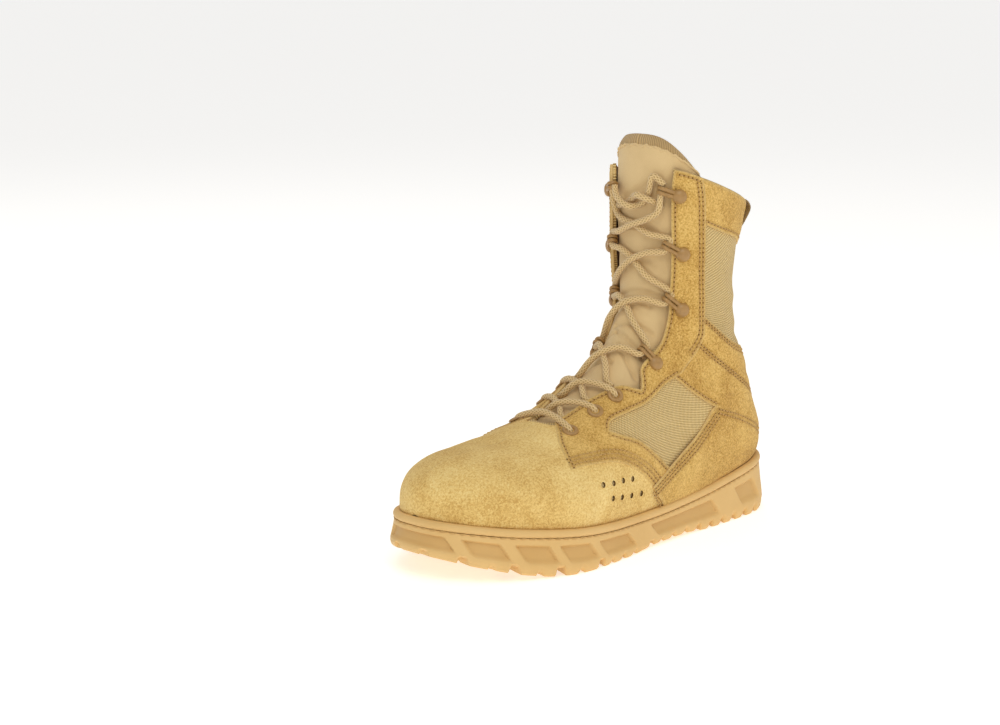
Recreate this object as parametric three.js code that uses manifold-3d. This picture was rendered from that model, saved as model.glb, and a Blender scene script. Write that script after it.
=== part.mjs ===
// Left combat boot for a foot of about EU 43, standing empty on its sole. Millimetres, +Z up,
// toe toward -X, outer (lateral) side toward -Y, ground at z = 0.
import * as THREE from 'three';
import { mergeVertices } from 'three/addons/utils/BufferGeometryUtils.js';
import Module from 'manifold-3d';

// ---- driving dimensions -------------------------------------------------------------------
const WALL = 2.2;              // thickness of the upper
const GAP = 0.3;               // clearance kept between touching pieces
const TONGUE_THICK = 6.0;
const TONGUE_SINK = 4.1;       // how far the tongue's face lies below the upper's outer face
const TONGUE_RISE = 18.0;      // height of the tongue above the collar
const INSOLE_THICK = 4.5;
const WELT_THICK = 5.0;
const LACE_R = 2.0;
const EYELET = { bore: 2.6, barrel: 3.2, flange: 5.2, lip: 1.0 };
const RIVET = { dome: 4.6, height: 2.6, shank: 1.4, washer: 3.2 };
const LOOP_EYE = { inner: 2.5, outer: 3.3, width: 5.0, reach: 11.2, drop: -0.4 };
const PULL_LOOP = { width: 22, thick: 1.6 };
const LUG = { groove: 4.5, depth: 5.0, spine: 9.0, slant: 0.22 };

// The last: one row per section. A section is a plane through a point on the front line (vamp ridge
// and shin) and a point on the sole or back line; it fans from upright at the toe to nearly level at
// the collar. widest: place of the greatest width, as a share of the way from front to back point.
const LAST_COLUMNS = ['frontX', 'frontZ', 'backX', 'backZ', 'lateral', 'medial', 'widest', 'frontPower', 'backPower'];
const LAST = [
  [-99.0, 71.5, -99.0, 18.0, 46.0, 51.5, 0.60, 2.20, 3.00],   // toe box
  [-69.0, 76.5, -69.0, 15.0, 55.0, 54.5, 0.60, 2.10, 3.00],   // ball
  [-39.0, 86.5, -39.0, 12.5, 53.5, 50.5, 0.62, 1.85, 3.00],   // throat front
  [-6.0, 107.0, 6.0, 12.0, 46.0, 40.5, 0.66, 1.90, 3.20],     // instep
  [9.0, 121.5, 50.0, 13.0, 40.5, 36.0, 0.66, 1.95, 3.20],     // waist
  [20.0, 135.0, 95.0, 18.0, 37.8, 35.0, 0.62, 2.00, 3.10],    // heel seat front
  [28.0, 147.0, 132.0, 27.0, 37.0, 35.5, 0.58, 2.10, 2.70],   // long heel measure
  [32.0, 154.5, 144.0, 44.0, 36.6, 35.8, 0.55, 2.15, 2.40],   // heel back, fullest
  [34.5, 163.0, 136.0, 69.0, 36.4, 36.0, 0.53, 2.20, 2.30],   // heel back, upper
  [36.5, 177.0, 121.0, 112.0, 36.5, 36.5, 0.51, 2.25, 2.25],  // ankle
  [37.0, 195.0, 113.5, 147.0, 37.0, 37.0, 0.50, 2.30, 2.25],  // narrowest shaft
  [36.8, 216.0, 117.0, 178.0, 38.0, 38.0, 0.50, 2.35, 2.25],  // shaft
  [36.5, 240.0, 124.5, 208.0, 38.5, 38.5, 0.50, 2.40, 2.25],  // collar
];
const COLLAR = LAST.length - 1;
const TOE = { tipX: -146.5, tipZ: 47.0, swing: 6.3, taper: 0.22, drop: 2.5, power: 2.5 };

// Height of the seam between upper and sole, and of the tread, along the boot: [x, z].
const FEATHER = [[-146, 38], [-114, 33], [-68, 27.5], [-15, 24], [35, 24.5], [90, 30.5], [146, 40]];
const TREAD = [[-156, 20], [-130, 11], [-107, 4.5], [-90, 1.2], [-72, 0], [-15, 0], [10, 1.8], [45, 1.8],
  [66, 0], [135, 0], [156, 3.5]];

// Half width of the open throat along the last's sections: [section, half width].
const THROAT = [[1.72, 7], [1.78, 9], [2.05, 10.7], [2.3, 12.1], [2.55, 13.6], [2.9, 16.8], [3.3, 20.7], [3.6, 25],
  [3.82, 27.3], [4.05, 25], [4.25, 22.2], [5.0, 22.2], [5.55, 23.7], [7.95, 25.7], [9.8, 26.8], [11.35, 25.4],
  [12, 26.5]];
// Half angle of the tongue along the sections: [section, degrees].
const TONGUE = [[1.35, 24], [2.2, 34], [3.0, 44], [5.0, 52], [8.0, 60], [12.0, 74]];

// Fastenings up the throat: section and distance from its middle.
const EYELETS = [[1.80, 23.3], [2.45, 22.3], [2.95, 22.4]];
const LOOPS = [[4.80, 24.7], [7.95, 28.2], [9.80, 30.1], [11.35, 29.1]];

// Edge notches of the lugs along the sole.
const NOTCHES = [-122, -103, -84, -66, -47, -28, 68, 84, 100, 116, 132];

const COLOURS = {
  rubber: '#d3a468', suede: '#c9a05a', cloth: '#c0a37a', foam: '#8d7a63', cord: '#cdb083', metal: '#b58f55',
};

// ---- curves and solids --------------------------------------------------------------------
const wasm = await Module();
wasm.setup();

// Cubic through the knots xs with values rows (numbers or arrays), flat outside its ends.
function curveThrough(xs, rows) {
  const vec = rows.map((row) => (Array.isArray(row) ? row : [row]));
  const last = xs.length - 1;
  const chord = (i, c) => (vec[i + 1][c] - vec[i][c]) / (xs[i + 1] - xs[i]);
  const inner = (i, c) => {
    const before = xs[i] - xs[i - 1];
    const after = xs[i + 1] - xs[i];
    return (chord(i - 1, c) * after + chord(i, c) * before) / (before + after);
  };
  const slope = (i, c) => {
    if (last === 1) return chord(0, c);
    if (i === 0) return 1.5 * chord(0, c) - 0.5 * inner(1, c);
    if (i === last) return 1.5 * chord(last - 1, c) - 0.5 * inner(last - 1, c);
    return inner(i, c);
  };
  return (at) => {
    const x = Math.min(Math.max(at, xs[0]), xs[last]);
    let i = 0;
    while (i < last - 1 && x >= xs[i + 1]) i += 1;
    const h = xs[i + 1] - xs[i];
    const t = (x - xs[i]) / h;
    const out = vec[i].map((a, c) => {
      const b = vec[i + 1][c];
      return a * (1 + 2 * t) * (1 - t) ** 2 + slope(i, c) * h * t * (1 - t) ** 2
        + b * t * t * (3 - 2 * t) - slope(i + 1, c) * h * t * t * (1 - t);
    });
    return out.length === 1 ? out[0] : out;
  };
}
const table = (pairs) => curveThrough(pairs.map((p) => p[0]), pairs.map((p) => p[1]));
// Straight lines between the pairs, for edges with corners.
function polyline(pairs) {
  return (x) => {
    let i = 0;
    while (i < pairs.length - 2 && x > pairs[i + 1][0]) i += 1;
    const [x0, y0] = pairs[i];
    const [x1, y1] = pairs[i + 1];
    const t = Math.min(Math.max((x - x0) / (x1 - x0), 0), 1);
    return y0 + (y1 - y0) * t;
  };
}
const featherAt = table(FEATHER);
const treadAt = polyline(TREAD);
const throatAt = polyline(THROAT);
const tongueAt = table(TONGUE);
const lastRow = curveThrough(LAST.map((_, i) => i), LAST);

// Section u of the last: 0 to COLLAR run through the table, and -1 to 0 round off the toe.
function section(u) {
  const s = Object.fromEntries(LAST_COLUMNS.map((name, i) => [name, lastRow(Math.max(u, 0))[i]]));
  if (u < 0) {
    const angle = Math.min(-u, 1) * Math.PI / 2;
    const reach = Math.sin(angle);
    const narrow = Math.cos(angle) * (1 - TOE.taper * reach);
    const low = Math.max(Math.cos(angle), 0) ** (2 / TOE.power);
    const half = (s.lateral + s.medial) / 2;
    const middle = (s.medial - s.lateral) / 2;
    const shift = middle + (TOE.swing - middle) * reach;
    s.frontX += (TOE.tipX - s.frontX) * reach;
    s.backX = s.frontX;
    s.frontZ = TOE.tipZ + (s.frontZ - TOE.drop * reach - TOE.tipZ) * low;
    s.backZ = TOE.tipZ + (s.backZ - TOE.tipZ) * low;
    s.lateral = half * narrow - shift;
    s.medial = half * narrow + shift;
  }
  return s;
}

// Point of the last on section u at angle phi: 0 on the front line, +90 degrees medial, 180 on the back line.
function onSection(u, phi) {
  const s = section(u);
  const front = Math.cos(phi) > 0;
  const power = 2 / (front ? s.frontPower : s.backPower);
  const along = Math.abs(Math.cos(phi)) ** power;
  const across = Math.sign(Math.sin(phi)) * Math.abs(Math.sin(phi)) ** power;
  const share = front ? s.widest * (1 - along) : s.widest + (1 - s.widest) * along;
  return new THREE.Vector3(
    s.frontX + (s.backX - s.frontX) * share,
    (s.medial - s.lateral) / 2 + across * (s.lateral + s.medial) / 2,
    s.frontZ + (s.backZ - s.frontZ) * share,
  );
}

// Local frame of the last's skin: along (up the boot), around (toward the medial side) and outward.
function frameOn(u, phi) {
  const step = 0.02;
  const u0 = Math.max(u - step, -0.999);
  const u1 = Math.min(u + step, COLLAR);
  const rise = onSection(u1, phi).sub(onSection(u0, phi));
  const around = onSection(u, phi + step).sub(onSection(u, phi - step)).normalize();
  const outward = new THREE.Vector3().crossVectors(rise, around).normalize();
  const along = new THREE.Vector3().crossVectors(around, outward);
  return { along, around, outward };
}
function skin(u, phi, out) {
  return onSection(u, phi).addScaledVector(frameOn(u, phi).outward, out);
}
// Angle at which the front half of section u is y away from its middle.
function angleAt(u, y) {
  const s = section(u);
  const ratio = Math.min(Math.abs(y) / ((s.lateral + s.medial) / 2), 1);
  return Math.sign(y) * Math.asin(ratio ** (s.frontPower / 2));
}
const atThroat = (u, y, out) => skin(u, angleAt(u, y), out);

// Closed solid from rings of equal length, with the given caps at both ends.
function loft(rings, capEnds = [fanCap, fanCap]) {
  const count = rings[0].length;
  const positions = rings.flat().flatMap((p) => [p.x, p.y, p.z]);
  const index = [];
  for (let i = 0; i < rings.length - 1; i += 1) {
    for (let j = 0; j < count; j += 1) {
      const a = i * count + j;
      const b = i * count + (j + 1) % count;
      index.push(a, b, b + count, a, b + count, a + count);
    }
  }
  index.push(...capEnds[0](0, count).flatMap(([a, b, c]) => [a, c, b]));
  index.push(...capEnds[1]((rings.length - 1) * count, count).flat());
  return closed(positions, index);
}
// Caps: a fan from the ring's first point, or strips across a ring whose two halves mirror each other.
function fanCap(first, count) {
  const faces = [];
  for (let j = 1; j < count - 1; j += 1) faces.push([first, first + j, first + j + 1]);
  return faces;
}
function stripCap(first, count) {
  const faces = [];
  for (let j = 0; j < count / 2 - 1; j += 1) {
    const a = first + j;
    const b = first + count - 1 - j;
    faces.push([a, a + 1, b - 1], [a, b - 1, b]);
  }
  return faces;
}
function closed(positions, index) {
  const geometry = new THREE.BufferGeometry();
  geometry.setAttribute('position', new THREE.Float32BufferAttribute(positions, 3));
  geometry.setIndex(index);
  const merged = mergeVertices(geometry, 1e-4);
  const kept = [];
  const faces = merged.index.array;
  for (let i = 0; i < faces.length; i += 3) {
    const [a, b, c] = [faces[i], faces[i + 1], faces[i + 2]];
    if (a !== b && b !== c && c !== a) kept.push(a, b, c);
  }
  merged.setIndex(kept);
  if (signedVolume(merged) < 0) {
    for (let i = 0; i < kept.length; i += 3) [kept[i + 1], kept[i + 2]] = [kept[i + 2], kept[i + 1]];
    merged.setIndex(kept);
  }
  return merged;
}
function signedVolume(geometry) {
  const p = geometry.attributes.position;
  const at = (i) => new THREE.Vector3().fromBufferAttribute(p, geometry.index.array[i]);
  let sum = 0;
  for (let i = 0; i < geometry.index.count; i += 3) sum += at(i).dot(at(i + 1).cross(at(i + 2)));
  return sum / 6;
}
function solid(geometry) {
  const bare = geometry.clone();
  bare.deleteAttribute('normal');
  bare.deleteAttribute('uv');
  const merged = mergeVertices(bare, 1e-4);
  return new wasm.Manifold(new wasm.Mesh({
    numProp: 3,
    vertProperties: new Float32Array(merged.attributes.position.array),
    triVerts: new Uint32Array(merged.index.array),
  }));
}
function geometryOf(manifold) {
  const mesh = manifold.getMesh();
  const geometry = new THREE.BufferGeometry();
  geometry.setAttribute('position', new THREE.Float32BufferAttribute(Array.from(mesh.vertProperties), 3));
  geometry.setIndex(Array.from(mesh.triVerts));
  return geometry;
}
const joined = (geometries) => geometryOf(geometries.map(solid).reduce((a, b) => a.add(b)));
const range = (from, to, count) => Array.from({ length: count + 1 }, (_, i) => from + (to - from) * i / count);

// A tube of LACE_R along the points.
function laceTube(points, steps, sides) {
  const path = new THREE.CatmullRomCurve3(points, false, 'centripetal');
  const shape = new THREE.Shape(range(0, 1, sides).slice(0, -1).map((t) => new THREE.Vector2(
    LACE_R * Math.cos(t * 2 * Math.PI), LACE_R * Math.sin(t * 2 * Math.PI))));
  return new THREE.ExtrudeGeometry(shape, { steps, extrudePath: path });
}

// ---- assembly -----------------------------------------------------------------------------
const boot = new THREE.Group();
function addPart(name, geometry, colour, roughness, metalness = 0) {
  const mesh = new THREE.Mesh(geometry, new THREE.MeshStandardMaterial({ color: colour, roughness, metalness }));
  mesh.name = name;
  boot.add(mesh);
  return mesh;
}

// Feather line: where the skin meets the seam height, as matching lateral and medial points.
function featherPoint(u, side) {
  const height = (phi) => {
    const p = onSection(u, side * phi);
    return p.z - featherAt(p.x);
  };
  let low = 0.45 * Math.PI;
  let high = Math.PI;
  if (height(high) > 0) return null;
  for (let i = 0; i < 40; i += 1) {
    const mid = (low + high) / 2;
    if (height(mid) > 0) low = mid;
    else high = mid;
  }
  return onSection(u, side * low);
}
// Last section, going from inside to outside, that still reaches down to the feather line.
function endSection(inside, outside) {
  let kept = inside;
  let lost = outside;
  for (let i = 0; i < 40; i += 1) {
    const mid = (kept + lost) / 2;
    if (featherPoint(mid, 1) && featherPoint(mid, -1)) kept = mid;
    else lost = mid;
  }
  return kept;
}
function featherLine() {
  const toe = range(0.04, 0.9, 5).map((t) => endSection(-0.6, -1) + 0.5 * t * t);
  const heel = range(0.9, 0.04, 8).map((t) => endSection(6, 7) - t * t);
  const stations = [...toe, ...range(-0.25, 5.3, 13), ...heel];
  return [...stations.map((u) => featherPoint(u, -1)), ...stations.toReversed().map((u) => featherPoint(u, 1))];
}
const outline = featherLine();
// The outline moved outward in plan, at the height that heightOf gives each point.
function outlineRing(offset, heightOf) {
  const count = outline.length;
  return outline.map((p, i) => {
    const before = outline[(i + count - 1) % count];
    const after = outline[(i + 1) % count];
    const tangent = new THREE.Vector2(after.x - before.x, after.y - before.y).normalize();
    const x = p.x - tangent.y * offset;
    const y = p.y + tangent.x * offset;
    return new THREE.Vector3(x, y, heightOf(x));
  });
}
// Which way the outline turns decides which side is outward.
const turn = Math.sign(outline.reduce((sum, p, i) => {
  const q = outline[(i + 1) % outline.length];
  return sum + p.x * q.y - q.x * p.y;
}, 0));
const ring = (offset, heightOf) => outlineRing(-turn * offset, heightOf);

// Outsole: side wall leaning out to the tread, a raised bed inside the welt, and edge lugs.
function outsole() {
  const base = (x) => featherAt(x) - WELT_THICK - GAP;
  const body = loft([
    ring(4.6, treadAt),
    ring(7.2, (x) => treadAt(x) + 4),
    ring(6.4, (x) => (treadAt(x) + base(x)) / 2 + 2),
    ring(4.6, base),
    ring(-3.7, base),
    ring(-3.7, (x) => featherAt(x) - GAP),
  ], [stripCap, stripCap]);
  let sole = solid(body);
  for (const x of NOTCHES) {
    for (const side of [-1, 1]) {
      const groove = new THREE.BoxGeometry(LUG.groove, 60, 2 * LUG.depth);
      groove.rotateZ(side * LUG.slant);
      groove.translate(x, side * (30 + LUG.spine), treadAt(x));
      sole = sole.subtract(solid(groove));
    }
  }
  return geometryOf(sole);
}
addPart('outsole', outsole(), COLOURS.rubber, 0.75);

// Welt: a rounded rubber band between the outsole's wall and the upper's edge.
function welt() {
  const low = (x) => featherAt(x) - WELT_THICK;
  const profile = [[-2.9, 0], [4.2, 0], [5.2, 1.2], [5.2, 3.8], [4.2, WELT_THICK], [-2.9, WELT_THICK]];
  const rings = profile.map(([offset, rise]) => ring(offset, (x) => low(x) + rise));
  const turned = rings[0].map((_, j) => rings.map((r) => r[j]));
  return loft([...turned, turned[0]], [() => [], () => []]);
}
addPart('welt', welt(), COLOURS.rubber, 0.7);

// Insole: the footbed board lying on the outsole's bed inside the upper.
function insole() {
  const top = (x) => featherAt(x) + INSOLE_THICK;
  return loft([ring(-3.8, (x) => featherAt(x) + 0.1), ring(-3.8, top)], [stripCap, stripCap]);
}
addPart('insole', insole(), COLOURS.foam, 0.9);

// Upper: the last's skin less the same skin one wall inside, open at collar, throat and underneath.
const SECTIONS = [...range(-1, 0, 6), ...range(0.5, COLLAR, 23)];
const AROUND = 24;
function skinRings(out) {
  return SECTIONS.map((u) => range(-Math.PI, Math.PI, AROUND).slice(0, -1).map((phi) => (
    skin(Math.max(u, -0.995), phi, out))));
}
function collarLift(points, lift) {
  const up = onSection(COLLAR, 0).sub(onSection(COLLAR - 1, 0)).normalize();
  return points.map((p) => p.clone().addScaledVector(up, lift));
}
function throatCutter() {
  const sections = [...THROAT.map(([u]) => u).slice(1), COLLAR + 1];
  const rings = sections.map((u) => {
    const capped = Math.min(u, COLLAR);
    const s = section(capped);
    const middle = (s.medial - s.lateral) / 2;
    const inward = new THREE.Vector3(s.backX - s.frontX, 0, s.backZ - s.frontZ).normalize();
    const lift = u > COLLAR ? 16 : 0;
    const corner = (depth, side) => new THREE.Vector3(s.frontX, middle + side * throatAt(capped), s.frontZ)
      .addScaledVector(inward, depth).add(new THREE.Vector3(0, 0, lift));
    return [corner(-14, -1), corner(27, -1), corner(27, 1), corner(-14, 1)];
  });
  return loft(rings);
}
function belowFeather() {
  const profile = range(-170, 170, 34).map((x) => new THREE.Vector2(x, featherAt(x) + GAP));
  const shape = new THREE.Shape([new THREE.Vector2(-170, -30), new THREE.Vector2(170, -30), ...profile.reverse()]);
  const slab = new THREE.ExtrudeGeometry(shape, { depth: 200, bevelEnabled: false });
  slab.rotateX(Math.PI / 2);
  slab.translate(0, 100, 0);
  return slab;
}
// A cylinder through the wall at a fastening.
function wallHole(u, y, radius) {
  const phi = angleAt(u, y);
  const hole = new THREE.CylinderGeometry(radius, radius, 14, 12);
  const turnTo = new THREE.Quaternion().setFromUnitVectors(new THREE.Vector3(0, 1, 0), frameOn(u, phi).outward);
  hole.applyQuaternion(turnTo);
  const centre = onSection(u, phi);
  hole.translate(centre.x, centre.y, centre.z);
  return hole;
}
function upper() {
  const outer = solid(loft(skinRings(0)));
  const innerRings = skinRings(-WALL);
  const inner = solid(loft([...innerRings, collarLift(innerRings.at(-1), 14)]));
  let shell = outer.subtract(inner).subtract(solid(belowFeather())).subtract(solid(throatCutter()));
  for (const side of [-1, 1]) {
    for (const [u, y] of EYELETS) shell = shell.subtract(solid(wallHole(u, side * y, EYELET.barrel + GAP)));
    for (const [u, y] of LOOPS) shell = shell.subtract(solid(wallHole(u, side * y, RIVET.shank + GAP)));
  }
  return geometryOf(shell);
}
addPart('upper', upper(), COLOURS.suede, 0.95);

// Tongue: a padded sheet under the throat, wrapping round the shin and rising above the collar.
function tongue() {
  const up = onSection(COLLAR, 0).sub(onSection(COLLAR - 1, 0)).normalize();
  const across = range(-1, 1, 10);
  const rows = [...range(1.35, COLLAR, 14), COLLAR + 0.5, COLLAR + 1];
  const face = (u, t, out) => {
    const capped = Math.min(u, COLLAR);
    const phi = t * THREE.MathUtils.degToRad(tongueAt(capped));
    const lift = (u - capped) * TONGUE_RISE * (1 - Math.abs(t) ** 2.5);
    return skin(capped, phi, out).addScaledVector(up, lift);
  };
  const rings = rows.map((u) => [
    ...across.map((t) => face(u, t, -TONGUE_SINK)),
    ...across.toReversed().map((t) => face(u, t, -TONGUE_SINK - TONGUE_THICK)),
  ]);
  return loft(rings, [stripCap, stripCap]);
}
addPart('tongue', tongue(), COLOURS.cloth, 0.9);

// Eyelets: flanged rings through the lower facings.
function eyelet() {
  const { bore, barrel, flange, lip } = EYELET;
  const foot = -WALL - 2 * GAP;
  const seat = 2 * GAP;
  const profile = [[bore, foot], [barrel, foot], [barrel, seat], [flange, seat], [(flange + bore) / 2, seat + lip],
    [bore, seat + lip / 2], [bore, foot]];
  return new THREE.LatheGeometry(profile.map(([r, h]) => new THREE.Vector2(r, h)), 12);
}
// Lace loops: a domed rivet with a band that reaches past the facing's edge and rings the lace.
function laceLoop() {
  const { dome, height, shank, washer } = RIVET;
  const back = -WALL - 2 * GAP;
  const profile = [[0, back - 0.7], [washer, back - 0.7], [washer, back], [shank, back], [shank, GAP], [dome, GAP],
    [dome * 0.75, height * 0.75], [0, height]];
  const rivet = new THREE.LatheGeometry(profile.map(([r, h]) => new THREE.Vector2(r, h)), 10);
  const { inner, outer, width, reach, drop } = LOOP_EYE;
  const eyeShape = new THREE.Shape().absarc(0, 0, outer, 0, 2 * Math.PI, false);
  eyeShape.holes.push(new THREE.Path().absarc(0, 0, inner, 0, 2 * Math.PI, true));
  const eye = new THREE.ExtrudeGeometry(eyeShape, { depth: width, bevelEnabled: false, curveSegments: 5 });
  eye.translate(reach, drop, -width / 2);
  const armLength = reach - inner;
  const arm = new THREE.BoxGeometry(armLength, 0.9, width);
  arm.translate(armLength / 2, GAP + 0.45, 0);
  return joined([rivet, eye, arm]);
}
// Places a fastening whose own +Y is outward and +X points to the middle of the throat.
function fasten(name, geometry, u, y) {
  const phi = angleAt(u, y);
  const { around, outward } = frameOn(u, phi);
  const inwardX = around.clone().multiplyScalar(-Math.sign(y));
  const third = new THREE.Vector3().crossVectors(inwardX, outward);
  const mesh = addPart(name, geometry, COLOURS.metal, 0.5, 0.3);
  mesh.quaternion.setFromRotationMatrix(new THREE.Matrix4().makeBasis(inwardX, outward, third));
  mesh.position.copy(onSection(u, phi));
}
const SIDES = { lateral: -1, medial: 1 };
for (const [sideName, side] of Object.entries(SIDES)) {
  EYELETS.forEach(([u, y], i) => fasten(`eyelet_${sideName}_${i + 1}`, eyelet(), u, side * y));
  LOOPS.forEach(([u, y], i) => fasten(`lace_loop_${sideName}_${i + 1}`, laceLoop(), u, side * y));
}

// Pull loop: webbing standing out behind the collar, both ends on the back of the shaft.
function pullLoop() {
  const { width, thick } = PULL_LOOP;
  const backAt = (u) => onSection(u, Math.PI);
  const low = backAt(11.0);
  const high = backAt(11.85);
  const clear = 0.5;
  const path = new THREE.CatmullRomCurve3([
    new THREE.Vector3(low.x + clear, 0, low.z - 1),
    new THREE.Vector3(low.x + 6, 0, low.z + 6),
    new THREE.Vector3(low.x + 18, 0, low.z + 18),
    new THREE.Vector3(low.x + 23, 0, low.z + 26),
    new THREE.Vector3(high.x + 12, 0, high.z + 5.5),
    new THREE.Vector3(high.x + 5, 0, high.z + 3.5),
    new THREE.Vector3(high.x + clear, 0, high.z + 1),
  ], false, 'centripetal');
  const spine = path.getSpacedPoints(18);
  const side = (sign) => spine.map((p, i) => {
    const t = path.getTangentAt(i / 18);
    return new THREE.Vector2(p.x + sign * t.z * thick / 2, p.z - sign * t.x * thick / 2);
  });
  const strap = new THREE.ExtrudeGeometry(new THREE.Shape([...side(1), ...side(-1).reverse()]),
    { depth: width, bevelEnabled: false });
  strap.rotateX(Math.PI / 2);
  strap.translate(thick / 2, width / 2, 0);
  return strap;
}
addPart('pull_loop', pullLoop(), COLOURS.cloth, 0.9);

// Lace: a bar over the vamp, then crossings. Each crossing is two strands joined where they meet; the
// strand that rises to the lateral side lies on top. Points: [section, distance, height above the skin].
const CROSSING_SIDES = 6;
const CROSSING_STEPS = 10;
const TIE_SIDES = 8;
const BAR = [[1.80, -17.6, 2.6], [1.84, -10, 3.6], [1.86, 0, 4.2], [1.84, 10, 3.6], [1.80, 17.6, 2.6]];
addPart('lace_bar', laceTube(BAR.map((p) => atThroat(...p)), CROSSING_STEPS, CROSSING_SIDES), COLOURS.cord, 0.9);
const CROSSINGS = [
  { from: [2.05, 7.0, -0.9], middle: 2.22, rise: [2.38, 11.5, 2.4], to: [2.44, 16.8, 2.6] },
  { from: [2.55, 9.5, -0.9], middle: 2.74, rise: [2.88, 13.0, 2.4], to: [2.94, 17.2, 2.6] },
  { from: [3.10, 13.0, -0.9], middle: 3.80, toLoop: 0 },
  { fromLoop: 0, middle: 6.20, toLoop: 1 },
  { fromLoop: 1, middle: 9.00, toLoop: 2 },
  { fromLoop: 2, middle: 10.25, toLoop: 3,
    over: [[10.5, 12, 3.1], [10.8, 19.0, 3.0]], under: [[10.42, 12, -0.4], [10.62, 18.5, -0.5]] },
];
const OVER = 2.5;
const UNDER = -0.6;
const EYE_CLEAR = LOOP_EYE.width / 2 + 1.2;
const EYE_INSET = 6.0;         // how much nearer the middle an eye lies than its rivet
// Middle of a lace loop's eye, moved along the boot by step.
function eyePoint(index, side, step) {
  const [u, y] = LOOPS[index];
  const phi = angleAt(u, side * y);
  const { along, around, outward } = frameOn(u, phi);
  return onSection(u, phi).addScaledVector(around, -side * LOOP_EYE.reach)
    .addScaledVector(outward, LOOP_EYE.drop).addScaledVector(along, step);
}
// A point of a strand between its middle (section, height) and an anchor, lifted to follow the shin.
function halfway(middle, height, [u, y], side) {
  return atThroat((middle + u) / 2, side * y / 2, height / 2 + 0.3);
}
CROSSINGS.forEach(({ from, fromLoop, middle, rise, to, toLoop, over, under }, i) => {
  const anchor = (index) => [LOOPS[index][0], LOOPS[index][1] - EYE_INSET];
  const strand = (side, height, bends) => {
    const start = from
      ? [atThroat(from[0], -side * from[1], from[2])]
      : [eyePoint(fromLoop, -side, EYE_CLEAR), eyePoint(fromLoop, -side, EYE_CLEAR + 2.5)];
    const before = halfway(middle, height, from ?? anchor(fromLoop), -side);
    const after = bends ? bends.map(([u, y, out]) => atThroat(u, side * y, out))
      : [halfway(middle, height, to ?? anchor(toLoop), side)];
    const end = to
      ? [atThroat(rise[0], side * rise[1], rise[2]), atThroat(to[0], side * to[1], to[2])]
      : [...after, eyePoint(toLoop, side, -EYE_CLEAR - 2.5), eyePoint(toLoop, side, -EYE_CLEAR)];
    return laceTube([...start, before, atThroat(middle, 0, height), ...end], CROSSING_STEPS, CROSSING_SIDES);
  };
  addPart(`lace_crossing_${i + 1}`, joined([strand(-1, OVER, over), strand(1, UNDER, under)]), COLOURS.cord, 0.9);
});

// Tie: the two lace ends, wound once round each other. The lateral one leaves the top lateral loop and
// is tucked behind the medial facing; the medial one comes out below the top medial loop and is tucked
// behind the lateral facing, under the last crossing.
const TIE_STEPS = 18;
const TIES = {
  lateral: [[11.70, -15.5, 1.3], [11.35, -12.9, 0.8], [11.02, -8.8, -1.0], [10.84, -3.0, -0.6], [10.82, 2.0, 3.2],
    [10.95, 8.0, 4.0], [11.15, 13.6, 3.0], [11.38, 16.3, 2.0]],
  medial: [[10.84, 17.0, -1.2], [10.84, 11.0, -1.0], [10.92, 5.0, -1.2], [11.10, -1.0, 0.6], [11.16, -7.0, 4.4],
    [11.08, -13.0, 3.0], [10.98, -17.5, -1.0], [10.88, -20.5, -1.5]],
};
for (const [sideName, points] of Object.entries(TIES)) {
  const start = sideName === 'lateral' ? [eyePoint(LOOPS.length - 1, SIDES.lateral, EYE_CLEAR)] : [];
  addPart(`lace_tie_${sideName}`, laceTube([...start, ...points.map((p) => atThroat(...p))], TIE_STEPS, TIE_SIDES),
    COLOURS.cord, 0.9);
}

// The origin lies under the middle of the boot, on the ground.
const bounds = new THREE.Box3().setFromObject(boot);
const middle = bounds.getCenter(new THREE.Vector3());
boot.position.set(-middle.x, -middle.y, -bounds.min.z);

export default boot;
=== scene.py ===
# Left combat boot in tan suede and canvas, standing empty on its lugged rubber sole.
import math

import bmesh
import bpy
import numpy as np
from mathutils import Matrix, Vector, kdtree, noise
from mathutils.geometry import delaunay_2d_cdt


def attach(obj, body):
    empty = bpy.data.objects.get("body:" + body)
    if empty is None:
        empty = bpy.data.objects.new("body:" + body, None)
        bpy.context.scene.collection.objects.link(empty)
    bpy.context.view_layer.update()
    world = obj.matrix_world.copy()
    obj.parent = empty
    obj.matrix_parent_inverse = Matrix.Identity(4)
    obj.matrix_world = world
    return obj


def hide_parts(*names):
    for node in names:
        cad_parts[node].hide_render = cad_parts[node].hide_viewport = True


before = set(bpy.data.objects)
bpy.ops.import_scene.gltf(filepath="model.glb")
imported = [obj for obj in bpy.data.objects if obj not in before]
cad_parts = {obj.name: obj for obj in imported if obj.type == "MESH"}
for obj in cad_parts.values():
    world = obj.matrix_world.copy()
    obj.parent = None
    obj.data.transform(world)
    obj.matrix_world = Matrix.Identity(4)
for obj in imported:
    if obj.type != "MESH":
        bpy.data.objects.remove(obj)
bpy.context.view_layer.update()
bpy.ops.object.select_all(action="DESELECT")

# ---- Camera, floor and light ----------------------------------------------------------------
# A long lens, a little above the toe's outer side. The boot stands on a pale paper sweep, under one
# large soft light from the toe's side and a weaker one from the heel's side.
CAMERA_TURN, CAMERA_RISE, CAMERA_REACH = math.radians(-43.63), math.radians(10.33), 1.3887
CAMERA_AIM = Vector((-0.0536, 0.0288, 0.1172))
PAPER = "F7F5F1"


def rgb(code):
    """Linear colour, with alpha, of an sRGB hex value."""
    parts = [int(code[i:i + 2], 16) / 255 for i in (0, 2, 4)]
    return [c / 12.92 if c <= 0.04045 else ((c + 0.055) / 1.055) ** 2.4 for c in parts] + [1.0]


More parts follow.
